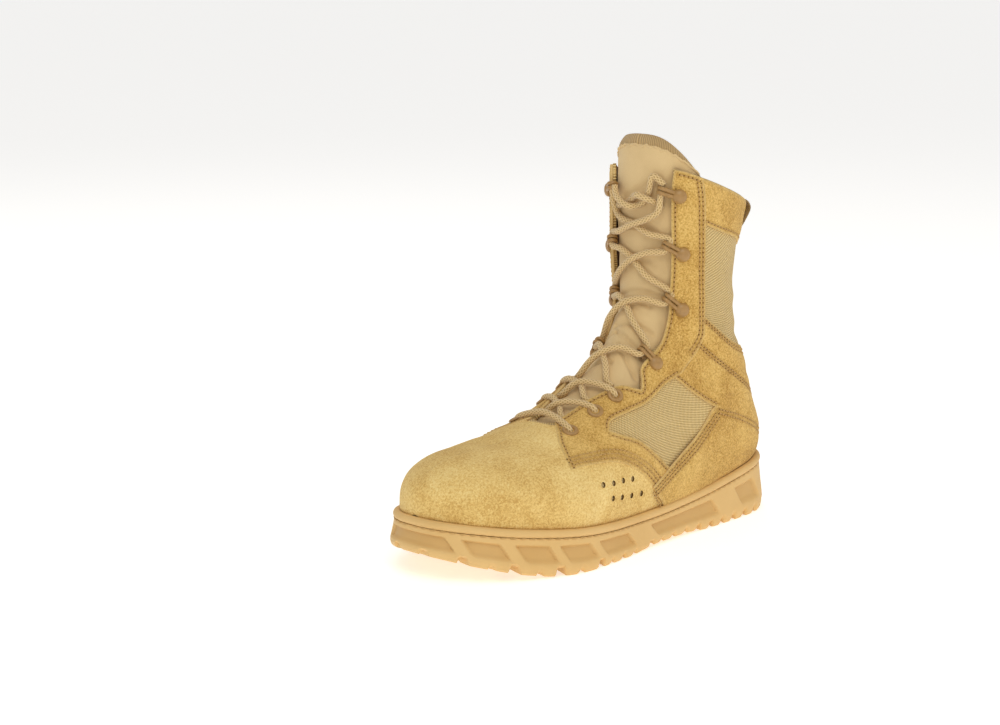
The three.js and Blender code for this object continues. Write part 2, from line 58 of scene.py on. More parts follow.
def add(tree, kind, inputs=(), **settings):
    """Adds one node with its settings; each input gets a number, a colour or another node's socket."""
    made = tree.nodes.new(kind)
    for key, value in settings.items():
        setattr(made, key, value)
    for key, value in dict(inputs).items():
        if isinstance(value, bpy.types.NodeSocket):
            tree.links.new(value, made.inputs[key])
        else:
            made.inputs[key].default_value = value
    return made


def finish(name, roughness, **sockets):
    """A new material: its tree and its Principled shader, whose uniform sockets are set here."""
    material = bpy.data.materials.new(name)
    material.use_nodes = True
    shader = material.node_tree.nodes["Principled BSDF"]
    shader.inputs["Roughness"].default_value = roughness
    for key, value in sockets.items():
        shader.inputs[key.replace("_", " ")].default_value = value
    return material, material.node_tree, shader


out_from = Vector((math.sin(CAMERA_TURN) * math.cos(CAMERA_RISE), -math.cos(CAMERA_TURN) * math.cos(CAMERA_RISE),
                   math.sin(CAMERA_RISE)))
camera = bpy.data.objects.new("camera", bpy.data.cameras.new("camera"))
camera.data.lens, camera.data.sensor_width, camera.data.clip_end = 79.2, 36, 100
camera.matrix_world = Matrix.Translation(CAMERA_AIM + out_from * CAMERA_REACH) @ \
    out_from.to_track_quat("Z", "Y").to_matrix().to_4x4()
bpy.context.scene.collection.objects.link(camera)
bpy.context.scene.camera = camera

paper, tree, shader = finish("matt_paper_sweep", 0.9, Base_Color=rgb(PAPER), Specular_IOR_Level=0.1,
                             Emission_Color=rgb("FFFFFF"), Emission_Strength=0.5)
bpy.ops.mesh.primitive_plane_add(size=90, location=(0, 0, 0))
floor = bpy.context.object
floor.name = "floor"
floor.data.materials.append(paper)

for name, place, size, power, tint in (
        ("key_light", (-0.95, -0.95, 1.75), 1.3, 15, "FFFAF0"),
        ("fill_light", (0.9, -1.3, 0.9), 1.4, 3.5, "FFF4E6"),
        ("back_light", (0.4, 1.3, 1.7), 1.6, 5, "FFFFFF")):
    lamp = bpy.data.lights.new(name, "AREA")
    lamp.size, lamp.energy, lamp.color = size, power, rgb(tint)[:3]
    holder = bpy.data.objects.new(name, lamp)
    aim = Vector(place) - Vector((-0.02, 0, 0.1))
    holder.matrix_world = Matrix.Translation(Vector(place)) @ aim.to_track_quat("Z", "Y").to_matrix().to_4x4()
    bpy.context.scene.collection.objects.link(holder)
world = bpy.data.worlds.new("studio")
world.use_nodes = True
world.node_tree.nodes["Background"].inputs["Color"].default_value = rgb("FFFFFF")
seen = add(world.node_tree, "ShaderNodeMapRange", {
    "Value": add(world.node_tree, "ShaderNodeLightPath").outputs["Is Camera Ray"], "To Min": 0.42, "To Max": 1.0})
world.node_tree.links.new(seen.outputs[0], world.node_tree.nodes["Background"].inputs["Strength"])
bpy.context.scene.world = world
# The plain transform keeps the tan as warm as the real suede.
bpy.context.scene.view_settings.view_transform = "Standard"

# ---- Lace -----------------------------------------------------------------------------------
# A round braided polyester cord, 4 mm thick: a bar over the vamp, six crossings, and two ends wound
# once round each other and tucked away. It lies on the last, whose sections are worked out here too.
LAST_COLUMNS = ("front_x", "front_z", "back_x", "back_z", "lateral", "medial", "widest", "front_power", "back_power")
LAST = (
    (-99.0, 71.5, -99.0, 18.0, 46.0, 51.5, 0.60, 2.20, 3.00),   # toe box
    (-69.0, 76.5, -69.0, 15.0, 55.0, 54.5, 0.60, 2.10, 3.00),   # ball
    (-39.0, 86.5, -39.0, 12.5, 53.5, 50.5, 0.62, 1.85, 3.00),   # throat front
    (-6.0, 107.0, 6.0, 12.0, 46.0, 40.5, 0.66, 1.90, 3.20),     # instep
    (9.0, 121.5, 50.0, 13.0, 40.5, 36.0, 0.66, 1.95, 3.20),     # waist
    (20.0, 135.0, 95.0, 18.0, 37.8, 35.0, 0.62, 2.00, 3.10),    # heel seat front
    (28.0, 147.0, 132.0, 27.0, 37.0, 35.5, 0.58, 2.10, 2.70),   # long heel measure
    (32.0, 154.5, 144.0, 44.0, 36.6, 35.8, 0.55, 2.15, 2.40),   # heel back, fullest
    (34.5, 163.0, 136.0, 69.0, 36.4, 36.0, 0.53, 2.20, 2.30),   # heel back, upper
    (36.5, 177.0, 121.0, 112.0, 36.5, 36.5, 0.51, 2.25, 2.25),  # ankle
    (37.0, 195.0, 113.5, 147.0, 37.0, 37.0, 0.50, 2.30, 2.25),  # narrowest shaft
    (36.8, 216.0, 117.0, 178.0, 38.0, 38.0, 0.50, 2.35, 2.25),  # shaft
    (36.5, 240.0, 124.5, 208.0, 38.5, 38.5, 0.50, 2.40, 2.25),  # collar
)
COLLAR = 12.0
TOE = {"tip_x": -146.5, "tip_z": 47.0, "swing": 6.3, "taper": 0.22, "drop": 2.5, "power": 2.5}
LAST_ZERO = np.array((1.019, 0.295, 0.0))    # the last's own zero, from the middle of the boot
LACE_RADIUS = 2.1
EYELETS = ((1.80, 23.3), (2.45, 22.3), (2.95, 22.4))                      # section, mm from the middle
LOOPS = ((4.80, 24.7), (7.95, 28.2), (9.80, 30.1), (11.35, 29.1))
EYE = {"inner": 2.5, "outer": 3.3, "width": 5.0, "reach": 11.2, "drop": -0.4, "inset": 6.0}
BAR = ((1.80, -17.6, 2.6), (1.84, -10, 3.6), (1.86, 0, 4.2), (1.84, 10, 3.6), (1.80, 17.6, 2.6))
LOW_CROSSINGS = (((2.05, 7.0, -0.9), 2.22, (2.38, 11.5, 2.4), (2.44, 16.8, 2.6)),   # from, middle, rise, to
                 ((2.55, 9.5, -0.9), 2.74, (2.88, 13.0, 2.4), (2.94, 17.2, 2.6)),
                 ((3.10, 13.0, -0.9), 3.80, None, None))
HIGH_MIDDLES = (6.20, 9.00, 10.25)
LAST_OVER, LAST_UNDER = ((10.5, 12, 3.1), (10.8, 19.0, 3.0)), ((10.42, 12, -0.4), (10.62, 18.5, -0.5))
OVER, UNDER = 2.5, -0.6
TIE_LATERAL = ((11.70, -15.5, 1.3), (11.35, -12.9, 0.8), (11.02, -8.8, -1.0), (10.84, -3.0, -0.6),
               (10.82, 2.0, 3.2), (10.95, 8.0, 4.0), (11.15, 13.6, 3.0), (11.38, 16.3, 2.0))
TIE_MEDIAL = ((10.84, 17.0, -1.2), (10.84, 11.0, -1.0), (10.92, 5.0, -1.2), (11.10, -1.0, 0.6),
              (11.16, -7.0, 4.4), (11.08, -13.0, 3.0), (10.98, -17.5, -1.0), (10.88, -20.5, -1.5))


def through(xs, rows):
    """Smooth curve through the rows at xs, flat outside its ends."""
    xs, rows = np.asarray(xs, float), np.asarray(rows, float)
    step = np.diff(xs)
    chord = np.diff(rows, axis=0) / (step[:, None] if rows.ndim > 1 else step)
    slope = np.zeros_like(rows)
    for i in range(1, len(xs) - 1):
        slope[i] = (chord[i - 1] * step[i] + chord[i] * step[i - 1]) / (step[i - 1] + step[i])
    slope[0], slope[-1] = 1.5 * chord[0] - 0.5 * slope[1], 1.5 * chord[-1] - 0.5 * slope[-2]

    def at(x):
        x = np.clip(x, xs[0], xs[-1])
        i = np.clip(np.searchsorted(xs, x, side="right") - 1, 0, len(xs) - 2)
        h = xs[i + 1] - xs[i]
        t = (x - xs[i]) / h
        if rows.ndim > 1:
            h, t = h[..., None], t[..., None]
        return rows[i] * (1 + 2 * t) * (1 - t) ** 2 + slope[i] * h * t * (1 - t) ** 2 \
            + rows[i + 1] * t * t * (3 - 2 * t) - slope[i + 1] * h * t * t * (1 - t)
    return at


last_row = through(np.arange(len(LAST)), LAST)


def section(u):
    """The last's measures at sections u: 0 to COLLAR run through the table, -1 to 0 round off the toe."""
    u = np.asarray(u, float)
    s = dict(zip(LAST_COLUMNS, np.moveaxis(last_row(np.maximum(u, 0)), -1, 0).copy()))
    angle = np.clip(-u, 0, 1) * math.pi / 2
    reach, toe = np.sin(angle), u < 0
    low = np.maximum(np.cos(angle), 0) ** (2 / TOE["power"])
    half, middle = (s["lateral"] + s["medial"]) / 2, (s["medial"] - s["lateral"]) / 2
    narrow, shift = np.cos(angle) * (1 - TOE["taper"] * reach), middle + (TOE["swing"] - middle) * reach
    for side, drop in (("front", TOE["drop"]), ("back", 0)):
        x, z = s[side + "_x"], s[side + "_z"]
        s[side + "_x"] = np.where(toe, x + (TOE["tip_x"] - x) * reach, x)
        s[side + "_z"] = np.where(toe, TOE["tip_z"] + (z - drop * reach - TOE["tip_z"]) * low, z)
    s["lateral"] = np.where(toe, half * narrow - shift, s["lateral"])
    s["medial"] = np.where(toe, half * narrow + shift, s["medial"])
    return s


def on_last(u, phi):
    """Points, in mm, on sections u at angle phi: 0 on the front line, +90 degrees medial, 180 on the back line."""
    u, phi = np.broadcast_arrays(np.asarray(u, float), np.asarray(phi, float))
    s = section(u)
    front = np.cos(phi) > 0
    power = 2 / np.where(front, s["front_power"], s["back_power"])
    along, across = np.abs(np.cos(phi)) ** power, np.sign(np.sin(phi)) * np.abs(np.sin(phi)) ** power
    share = np.where(front, s["widest"] * (1 - along), s["widest"] + (1 - s["widest"]) * along)
    return np.stack([s["front_x"] + (s["back_x"] - s["front_x"]) * share,
                     (s["medial"] - s["lateral"]) / 2 + across * (s["lateral"] + s["medial"]) / 2,
                     s["front_z"] + (s["back_z"] - s["front_z"]) * share], -1) + LAST_ZERO


def unit(v):
    return v / np.maximum(np.linalg.norm(v, axis=-1, keepdims=True), 1e-12)


def frame_on(u, phi):
    """Directions on the last's skin: up the boot, toward the medial side, and outward."""
    rise = on_last(np.minimum(np.asarray(u) + 0.02, COLLAR), phi) - on_last(np.maximum(np.asarray(u) - 0.02, -0.999),
                                                                            phi)
    around = unit(on_last(u, phi + 0.02) - on_last(u, phi - 0.02))
    outward = unit(np.cross(rise, around))
    return np.cross(around, outward), around, outward


def skin(u, phi, out=0.0):
    return on_last(u, phi) + frame_on(u, phi)[2] * np.asarray(out, float)[..., None]


def angle_at(u, y):
    """Angle at which the front half of section u is y mm away from its middle."""
    s = section(u)
    ratio = min(abs(y) / float((s["lateral"] + s["medial"]) / 2), 1.0)
    return math.copysign(math.asin(ratio ** (float(s["front_power"]) / 2)), y)


def at_throat(u, y, out):
    return skin(u, angle_at(u, y), out)


def eye_point(index, side, step):
    """Middle of a lace loop's eye, moved up the boot by step."""
    u, y = LOOPS[index]
    phi = angle_at(u, side * y)
    along, around, outward = frame_on(u, phi)
    return on_last(u, phi) - side * EYE["reach"] * around + EYE["drop"] * outward + step * along


def eyelet_dive(index, side):
    """The lace's last points at an eyelet: over its rim and down through its bore."""
    u, y = EYELETS[index]
    phi = angle_at(u, side * y)
    along, around, outward = frame_on(u, phi)
    centre = on_last(u, phi)
    return [centre - side * 2.2 * around + 2.6 * outward, centre + side * 0.2 * around + 0.6 * outward,
            centre - side * 0.4 * around - 3.2 * outward]


def smooth(points, spacing):
    """Evenly spaced points on a rounded curve through the points."""
    p = np.asarray(points, float)
    knots = np.concatenate([[0], np.cumsum(np.maximum(np.linalg.norm(np.diff(p, axis=0), axis=1), 1e-6) ** 0.5)])
    curve = through(knots, p) if len(p) > 2 else (lambda t: p[0] + (p[1] - p[0]) * (t / knots[-1])[:, None])
    fine = curve(np.linspace(0, knots[-1], 30 * len(p)))
    run = np.concatenate([[0], np.cumsum(np.linalg.norm(np.diff(fine, axis=0), axis=1))])
    even = np.linspace(0, run[-1], max(int(round(run[-1] / spacing)), 2) + 1)
    return np.stack([np.interp(even, run, fine[:, k]) for k in range(fine.shape[1])], -1)


def piece(name, points, faces, materials, uv=None, slots=None, marks=None):
    """A new object from points in mm, with a UV map in metres or turns and named values per point."""
    mesh = bpy.data.meshes.new(name)
    mesh.from_pydata([tuple(p) for p in np.asarray(points) * 0.001], [], [tuple(int(i) for i in f) for f in faces])
    if uv is not None:
        layer = mesh.uv_layers.new(name="cloth")
        index = np.empty(len(mesh.loops), dtype=np.int32)
        mesh.loops.foreach_get("vertex_index", index)
        layer.data.foreach_set("uv", np.asarray(uv, float)[index].ravel())
    for key, values in (marks or {}).items():
        mesh.attributes.new(key, "FLOAT", "POINT").data.foreach_set("value", np.asarray(values, float))
    for material in materials:
        mesh.materials.append(material)
    if slots is not None:
        mesh.polygons.foreach_set("material_index", np.asarray(slots, dtype=np.int32))
    mesh.polygons.foreach_set("use_smooth", [True] * len(mesh.polygons))
    mesh.update()
    made = bpy.data.objects.new(name, mesh)
    bpy.context.scene.collection.objects.link(made)
    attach(made, "root")
    return made


def cord_mesh(paths, radius, sides=14):
    """Round tubes along the paths, with UV: turns round the cord, and metres along it."""
    points, faces, uv = [], [], []
    for path in paths:
        tangent = unit(np.gradient(path, axis=0))
        normal = unit(np.cross(tangent[0], (0.3, 0.9, 0.2)))
        run = np.concatenate([[0], np.cumsum(np.linalg.norm(np.diff(path, axis=0), axis=1))]) * 0.001
        first = len(points)
        for i, centre in enumerate(path):
            normal = unit(normal - tangent[i] * np.dot(normal, tangent[i]))
            side = np.cross(tangent[i], normal)
            for j in range(sides + 1):
                turn = 2 * math.pi * (j % sides) / sides
                points.append(centre + radius * (math.cos(turn) * normal + math.sin(turn) * side))
                uv.append((j / sides, run[i]))
        row = sides + 1
        for i in range(len(path) - 1):
            for j in range(sides):
                a = first + i * row + j
                faces.append((a, a + 1, a + 1 + row, a + row))
        faces.append([first + j for j in range(sides - 1, -1, -1)])
        faces.append([first + (len(path) - 1) * row + j for j in range(sides)])
    return points, faces, uv


# Braided polyester lace: 16 crossing plaits show as small slanted ribs, with painted highlight on their crests and
# painted shade in the grooves between them.
lace_cord, tree, shader = finish("braided_polyester_lace", 0.82, Sheen_Weight=0.35, Sheen_Roughness=0.5,
                                 Specular_IOR_Level=0.25)
uv = add(tree, "ShaderNodeSeparateXYZ", {"Vector": add(tree, "ShaderNodeUVMap", uv_map="cloth").outputs[0]})
PLAITS, PLAIT_PITCH = 7, 0.0032
ribs = []
for lean in (1, -1):
    turns = add(tree, "ShaderNodeMath", {0: uv.outputs[0], 1: 2 * math.pi * PLAITS}, operation="MULTIPLY")
    climb = add(tree, "ShaderNodeMath", {0: uv.outputs[1], 1: lean * 2 * math.pi / PLAIT_PITCH}, operation="MULTIPLY")
    slant = add(tree, "ShaderNodeMath", {0: turns.outputs[0], 1: climb.outputs[0]}, operation="ADD")
    ribs.append(add(tree, "ShaderNodeMath", {0: slant.outputs[0]}, operation="SINE").outputs[0])
plait = add(tree, "ShaderNodeMath", {0: ribs[0], 1: ribs[1], 2: 0.4}, operation="SMOOTH_MAX")
fibre = add(tree, "ShaderNodeTexNoise", {"Vector": add(tree, "ShaderNodeTexCoord").outputs["Object"], "Scale": 900,
                                         "Detail": 3})
lace_shade = add(tree, "ShaderNodeMapRange", {"Value": plait.outputs[0], "From Min": -0.6, "From Max": 1.0})
tone = add(tree, "ShaderNodeMix", {"Factor": lace_shade.outputs[0], "A": rgb("B28F58"), "B": rgb("E8CB94")},
           data_type="RGBA")
tree.links.new(tone.outputs["Result"], shader.inputs["Base Color"])
lift = add(tree, "ShaderNodeMath", {0: fibre.outputs[0], 1: 0.5, 2: plait.outputs[0]}, operation="MULTIPLY_ADD")
bump = add(tree, "ShaderNodeBump", {"Strength": 0.7, "Distance": 0.00025, "Height": lift.outputs[0]})
tree.links.new(bump.outputs[0], shader.inputs["Normal"])


def lace_piece(node, strands):
    paths = [smooth(s, 0.9) for s in strands]
    points, faces, uv_points = cord_mesh(paths, LACE_RADIUS)
    made = piece(node + "_braid", points, faces, [lace_cord], uv=uv_points)
    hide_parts(node)
    return made, paths


def halfway(middle, height, anchor, side):
    return at_throat((middle + anchor[0]) / 2, side * anchor[1] / 2, height / 2 + 0.3)


EYE_CLEAR = EYE["width"] / 2 + 1.2
eye_anchor = [(u, y - EYE["inset"]) for u, y in LOOPS]
lace_piece("lace_bar", [eyelet_dive(0, -1)[::-1] + [at_throat(*p) for p in BAR[1:-1]] + eyelet_dive(0, 1)])
for i, (start, middle, rise, end) in enumerate(LOW_CROSSINGS):
    strands = []
    for side, height in ((-1, OVER), (1, UNDER)):
        anchor = end or eye_anchor[0]
        route = [at_throat(start[0], -side * (start[1] + 4.5), start[2] - 0.6),
                 at_throat(start[0], -side * start[1], start[2]),
                 halfway(middle, height, start, -side), at_throat(middle, 0, height)]
        if end:
            route += [at_throat(rise[0], side * rise[1], rise[2])] + eyelet_dive(i + 1, side)
        else:
            route += [halfway(middle, height, anchor, side), eye_point(0, side, -EYE_CLEAR),
                      eye_point(0, side, EYE_CLEAR - 1)]
        strands.append(route)
    lace_piece(f"lace_crossing_{i + 1}", strands)
for i, middle in enumerate(HIGH_MIDDLES):
    strands = []
    for side, height, bends in ((-1, OVER, LAST_OVER), (1, UNDER, LAST_UNDER)):
        route = [eye_point(i, -side, -1), eye_point(i, -side, EYE_CLEAR + 0.6),
                 halfway(middle, height, eye_anchor[i], -side), at_throat(middle, 0, height)]
        route += [at_throat(u, side * y, out) for u, y, out in bends] if i == 2 else \
            [halfway(middle, height, eye_anchor[i + 1], side)]
        route += [eye_point(i + 1, side, s) for s in (-EYE_CLEAR, EYE_CLEAR - 1)]
        strands.append(route)
    lace_piece(f"lace_crossing_{i + 4}", strands)
ties = {"lace_tie_lateral": [eye_point(3, -1, EYE_CLEAR)] + [at_throat(*p) for p in TIE_LATERAL],
        "lace_tie_medial": [at_throat(*p) for p in TIE_MEDIAL]}
for node_name, route in ties.items():
    made, (path,) = lace_piece(node_name, [route])

# ---- Shaft and lining -----------------------------------------------------------------------
# One woven nylon canvas shell, 2.2 mm thick with its pinkish-brown cloth lining, drawn over the last
# and open at collar, throat and underneath. It shows in the upper shaft and in the side windows.
WALL = 2.2
FEATHER = ((-146, 38), (-114, 33), (-68, 27.5), (-15, 24), (35, 24.5), (90, 30.5), (146, 40))   # x, seam height
THROAT = ((1.72, 0), (1.74, 6), (1.82, 9.3), (2.05, 10.7), (2.3, 12.1), (2.55, 13.6), (2.9, 16.8), (3.3, 20.7),
          (3.6, 25),
          (3.82, 27.3), (4.05, 25), (4.25, 22.2), (5.0, 22.2), (5.55, 23.7), (7.95, 25.7), (9.8, 26.8),
          (11.35, 25.4), (12, 26.5))                                       # section, half width
WEAVE = 0.0021          # thread spacing, drawn coarser than the real 1.1 mm so that it shows
CREASE_POINTS = 24
# Creases: section and degrees of both ends, then half width and depth in mm (a ridge is negative).
CREASES = ((8.6, 84, 9.6, 180, 5.0, 1.5), (8.0, 96, 8.9, 176, 4.0, 0.9), (9.5, 100, 10.1, 150, 4.5, -0.9),
           (9.9, 80, 9.0, 118, 3.2, 0.7), (6.6, 52, 7.6, 96, 5.0, 0.8), (7.2, 56, 8.2, 78, 3.2, -0.5),
           (3.2, 60, 4.4, 74, 3.4, 0.8), (0.9, 12, 1.3, 62, 7.0, 0.8), (0.35, -30, 0.6, 34, 7.0, 0.5),
           (1.5, 66, 1.7, 104, 6.0, 0.6), (5.4, 100, 6.4, 150, 6.0, 0.6), (10.9, 120, 11.6, 170, 5.0, 0.7))

feather_height = through([x for x, _ in FEATHER], [z for _, z in FEATHER])


def above_feather(u, phi):
    p = on_last(u, phi)
    return p[..., 2] - feather_height(p[..., 0] - LAST_ZERO[0])


def feather_angle(u):
    """Angle, toward either side, at which sections u reach the sole's seam: 180 degrees where they don't."""
    low, high = np.full_like(u, 0.45 * math.pi), np.full_like(u, math.pi)
    for _ in range(34):
        mid = (low + high) / 2
        over = above_feather(u, mid) > 0
        low, high = np.where(over, mid, low), np.where(over, high, mid)
    return (low + high) / 2


def throat_angle(u):
    """Half angle of the open throat at sections u."""
    half = np.interp(u, [p[0] for p in THROAT], [p[1] for p in THROAT])
    s = section(u)
    return np.arcsin(np.clip(half / ((s["lateral"] + s["medial"]) / 2), 0, 1) ** (s["front_power"] / 2))


# The skin unrolled: mm round the boot from its front line, and mm up the boot, for laying out cloth.
TABLE_ROWS, TABLE_SHARES, TABLE_ANGLES = 420, 300, 361
table_u, table_phi = np.linspace(-0.995, COLLAR, TABLE_ROWS), np.linspace(0, math.pi, TABLE_ANGLES)
table_skin = on_last(table_u[:, None], table_phi[None, :])
table_arc = np.concatenate([np.zeros((TABLE_ROWS, 1)),
                            np.cumsum(np.linalg.norm(np.diff(table_skin, axis=1), axis=2), axis=1)], 1)
share_steps = np.linspace(0, 1, TABLE_SHARES + 1)
table_share = np.stack([np.interp(share_steps, row / row[-1], table_phi) for row in table_arc])
share_skin = on_last(table_u[:, None], table_share)
table_climb = np.concatenate([np.zeros((1, TABLE_SHARES + 1)),
                              np.cumsum(np.linalg.norm(np.diff(share_skin, axis=0), axis=2), axis=0)], 0)


def look_up(table, u, x, width):
    """Value between the cells of a table with rows over u and columns over 0 to width."""
    i = np.clip((u - table_u[0]) / (table_u[-1] - table_u[0]) * (TABLE_ROWS - 1), 0, TABLE_ROWS - 1.001)
    j = np.clip(x / width * (table.shape[1] - 1), 0, table.shape[1] - 1.001)
    i0, j0 = i.astype(int), j.astype(int)
    fi, fj = i - i0, j - j0
    return (table[i0, j0] * (1 - fi) + table[i0 + 1, j0] * fi) * (1 - fj) + \
        (table[i0, j0 + 1] * (1 - fi) + table[i0 + 1, j0 + 1] * fi) * fj


def unroll(u, phi, share):
    """Flat cloth coordinates, in mm, of skin points: up the boot at that share of the way round, and round it."""
    u, phi = np.asarray(u, float), np.asarray(phi, float)
    climb = np.interp(u, table_u, table_climb[:, int(share * TABLE_SHARES)])
    return np.stack([climb, np.sign(phi) * look_up(table_arc, u, np.abs(phi), math.pi)], -1)


def roll(flat, share):
    """Section and angle of flat cloth coordinates."""
    u = np.interp(flat[:, 0], table_climb[:, int(share * TABLE_SHARES)], table_u)
    full = np.interp(u, table_u, table_arc[:, -1])
    return u, np.sign(flat[:, 1]) * look_up(table_share, u, np.abs(flat[:, 1]) / full, 1.0)


crease_lines = []
for u0, d0, u1, d1, half_width, depth in CREASES:
    for side in (-1, 1):
        line = on_last(np.linspace(u0, u1, CREASE_POINTS), side * np.radians(np.linspace(d0, d1, CREASE_POINTS)))
        crease_lines.append((line, half_width, depth))


def worn(u, phi, out=0.0):
    """Points on the upper at a height over the last, with its creases and the slight unevenness of leather."""
    p = skin(u, phi, 0.0)
    drop = np.zeros(p.shape[:-1])
    for line, half_width, depth in crease_lines:
        near = np.full(drop.shape, 1e9)
        where = np.zeros(drop.shape)
        for k in range(CREASE_POINTS):
            d = np.linalg.norm(p - line[k], axis=-1)
            where = np.where(d < near, k / (CREASE_POINTS - 1), where)
            near = np.minimum(near, d)
        drop += depth * np.exp(-(near / half_width) ** 2) * np.sin(math.pi * np.clip(where, 0.08, 0.92)) ** 0.5
    flat = p.reshape(-1, 3)
    rough = np.array([noise.noise(Vector(q) * 0.045) * 0.55 + noise.noise(Vector(q) * 0.13) * 0.18 for q in flat])
    return skin(u, phi, np.asarray(out, float) - drop + rough.reshape(drop.shape))


# Woven nylon canvas: over-and-under threads in two shades, with loose fibres.
def woven(name, light, dark, pitch, depth, roughness=0.85, rough_colour=0.35):
    material, tree, shader = finish(name, roughness, Sheen_Weight=0.2, Sheen_Roughness=0.5, Specular_IOR_Level=0.25)
    flat = add(tree, "ShaderNodeSeparateXYZ", {"Vector": add(tree, "ShaderNodeUVMap", uv_map="cloth").outputs[0]})
    waves = []
    for axis in (0, 1):
        turn = add(tree, "ShaderNodeMath", {0: flat.outputs[axis], 1: 2 * math.pi / pitch}, operation="MULTIPLY")
        waves.append(add(tree, "ShaderNodeMath", {0: turn.outputs[0]}, operation="SINE").outputs[0])
    cross = add(tree, "ShaderNodeMath", {0: waves[0], 1: waves[1]}, operation="MULTIPLY")
    place = add(tree, "ShaderNodeTexCoord").outputs["Object"]
    blotch = add(tree, "ShaderNodeTexNoise", {"Vector": place, "Scale": 55, "Detail": 3})
    fibre = add(tree, "ShaderNodeTexNoise", {"Vector": place, "Scale": 700, "Detail": 2})
    mixed = add(tree, "ShaderNodeMath", {0: blotch.outputs[0], 1: rough_colour, 2: cross.outputs[0]},
                operation="MULTIPLY_ADD")
    share = add(tree, "ShaderNodeMapRange", {"Value": mixed.outputs[0], "From Min": -0.8, "From Max": 1.2})
    tone = add(tree, "ShaderNodeMix", {"Factor": share.outputs[0], "A": rgb(dark), "B": rgb(light)}, data_type="RGBA")
    tree.links.new(tone.outputs["Result"], shader.inputs["Base Color"])
    height = add(tree, "ShaderNodeMath", {0: fibre.outputs[0], 1: 0.6, 2: cross.outputs[0]}, operation="MULTIPLY_ADD")
    bump = add(tree, "ShaderNodeBump", {"Strength": 0.7, "Distance": depth, "Height": height.outputs[0]})
    tree.links.new(bump.outputs[0], shader.inputs["Normal"])
    return material


canvas = woven("woven_nylon_canvas", "FFE6A4", "B08947", WEAVE, 0.0006)
lining = woven("brushed_cloth_lining", "B48C6C", "94694C", 0.0011, 0.00015, 0.95)


def shell(name, sections, columns, start, end, top, thick, materials, share=0.5, rear=None):
    """A closed shell over the last between two angles of each section: outer cloth, inner cloth and its rims."""
    u = np.asarray(sections, float)
    first, last = start(u), end(u)
    points, faces, slots, uv = [], [], [], []
    for side in (-1, 1):
        steps = np.linspace(0, 1, columns)
        a, b = unroll(u, first, 0.5)[:, 1], unroll(u, last, 0.5)[:, 1]
        around = a[:, None] + (b - a)[:, None] * steps[None, :]
        climb = np.interp(u, table_u, table_climb[:, int(share * TABLE_SHARES)])
        full = np.interp(u, table_u, table_arc[:, -1])
        phi = side * look_up(table_share, np.repeat(u, columns), (around / full[:, None]).ravel(),
                             1.0).reshape(len(u), -1)
        grid_u = np.repeat(u, columns).reshape(len(u), -1)
        if rear is not None:
            grid_u = rear(grid_u, np.abs(phi))
        for out in (top, top - thick):
            base = len(points)
            points += list(worn(grid_u, phi, out).reshape(-1, 3))
            uv += list(np.stack([np.repeat(climb, columns), (side * around).ravel()], -1) * 0.001)
            for i in range(len(u) - 1):
                for j in range(columns - 1):
                    k = base + i * columns + j
                    quad = (k, k + 1, k + 1 + columns, k + columns)
                    outside = (out == top) == (side < 0)
                    faces.append(quad if outside else quad[::-1])
                    slots.append(0 if out == top else min(1, len(materials) - 1))
        block = len(u) * columns
        edge = [i * columns for i in range(len(u))]
        ring = edge[::-1] + list(range(1, columns)) + [i * columns + columns - 1 for i in range(1, len(u))] \
            + [block - 1 - j for j in range(1, columns)]
        outer0 = len(points) - 2 * block
        for p, q in zip(ring, ring[1:]):
            quad = (outer0 + p, outer0 + q, outer0 + block + q, outer0 + block + p)
            faces.append(quad if side > 0 else quad[::-1])
            slots.append(len(materials) - 1 if len(materials) > 2 else 0)
    made = piece(name, points, faces, materials, uv=uv, slots=slots)
    bm = bmesh.new()
    bm.from_mesh(made.data)
    bmesh.ops.remove_doubles(bm, verts=bm.verts, dist=2e-5)
    inner = [f for f in bm.faces if len({v.index for v in f.verts}) < 3]
    bmesh.ops.delete(bm, geom=inner, context="FACES")
    double = {}
    for f in bm.faces:
        double.setdefault(tuple(sorted(v.index for v in f.verts)), []).append(f)
    bmesh.ops.delete(bm, geom=[f for same in double.values() if len(same) > 1 for f in same], context="FACES")
    bm.to_mesh(made.data)
    bm.free()
    made.data.update()
    return made


SHELL_ROWS = np.concatenate([-np.cos(np.linspace(0.06, math.pi / 2, 26)), np.linspace(0.06, COLLAR, 170)])
upper_shell = shell("canvas_shaft_and_lining", SHELL_ROWS, 72, throat_angle, feather_angle, 0.0, WALL,
                    [canvas, lining])
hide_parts("upper")

# ---- Vamp -----------------------------------------------------------------------------------
# One piece of rough-out suede, 1.2 mm thick, moulded plain over the toe with no cap. Its rear edge
# runs under the eyestays. Two staggered rows of four punched holes air the forefoot on each side.
NAP = 850.0             # fibre clumps of the rough side, about 1.2 mm across
VENT_RADIUS, VENT_DEPTH = 0.0018, 0.0042
VENTS = ((1.80, 75.5), (2.10, 78), (2.35, 80), (2.60, 83), (2.05, 90), (2.30, 91), (2.55, 92.5), (2.80, 94))


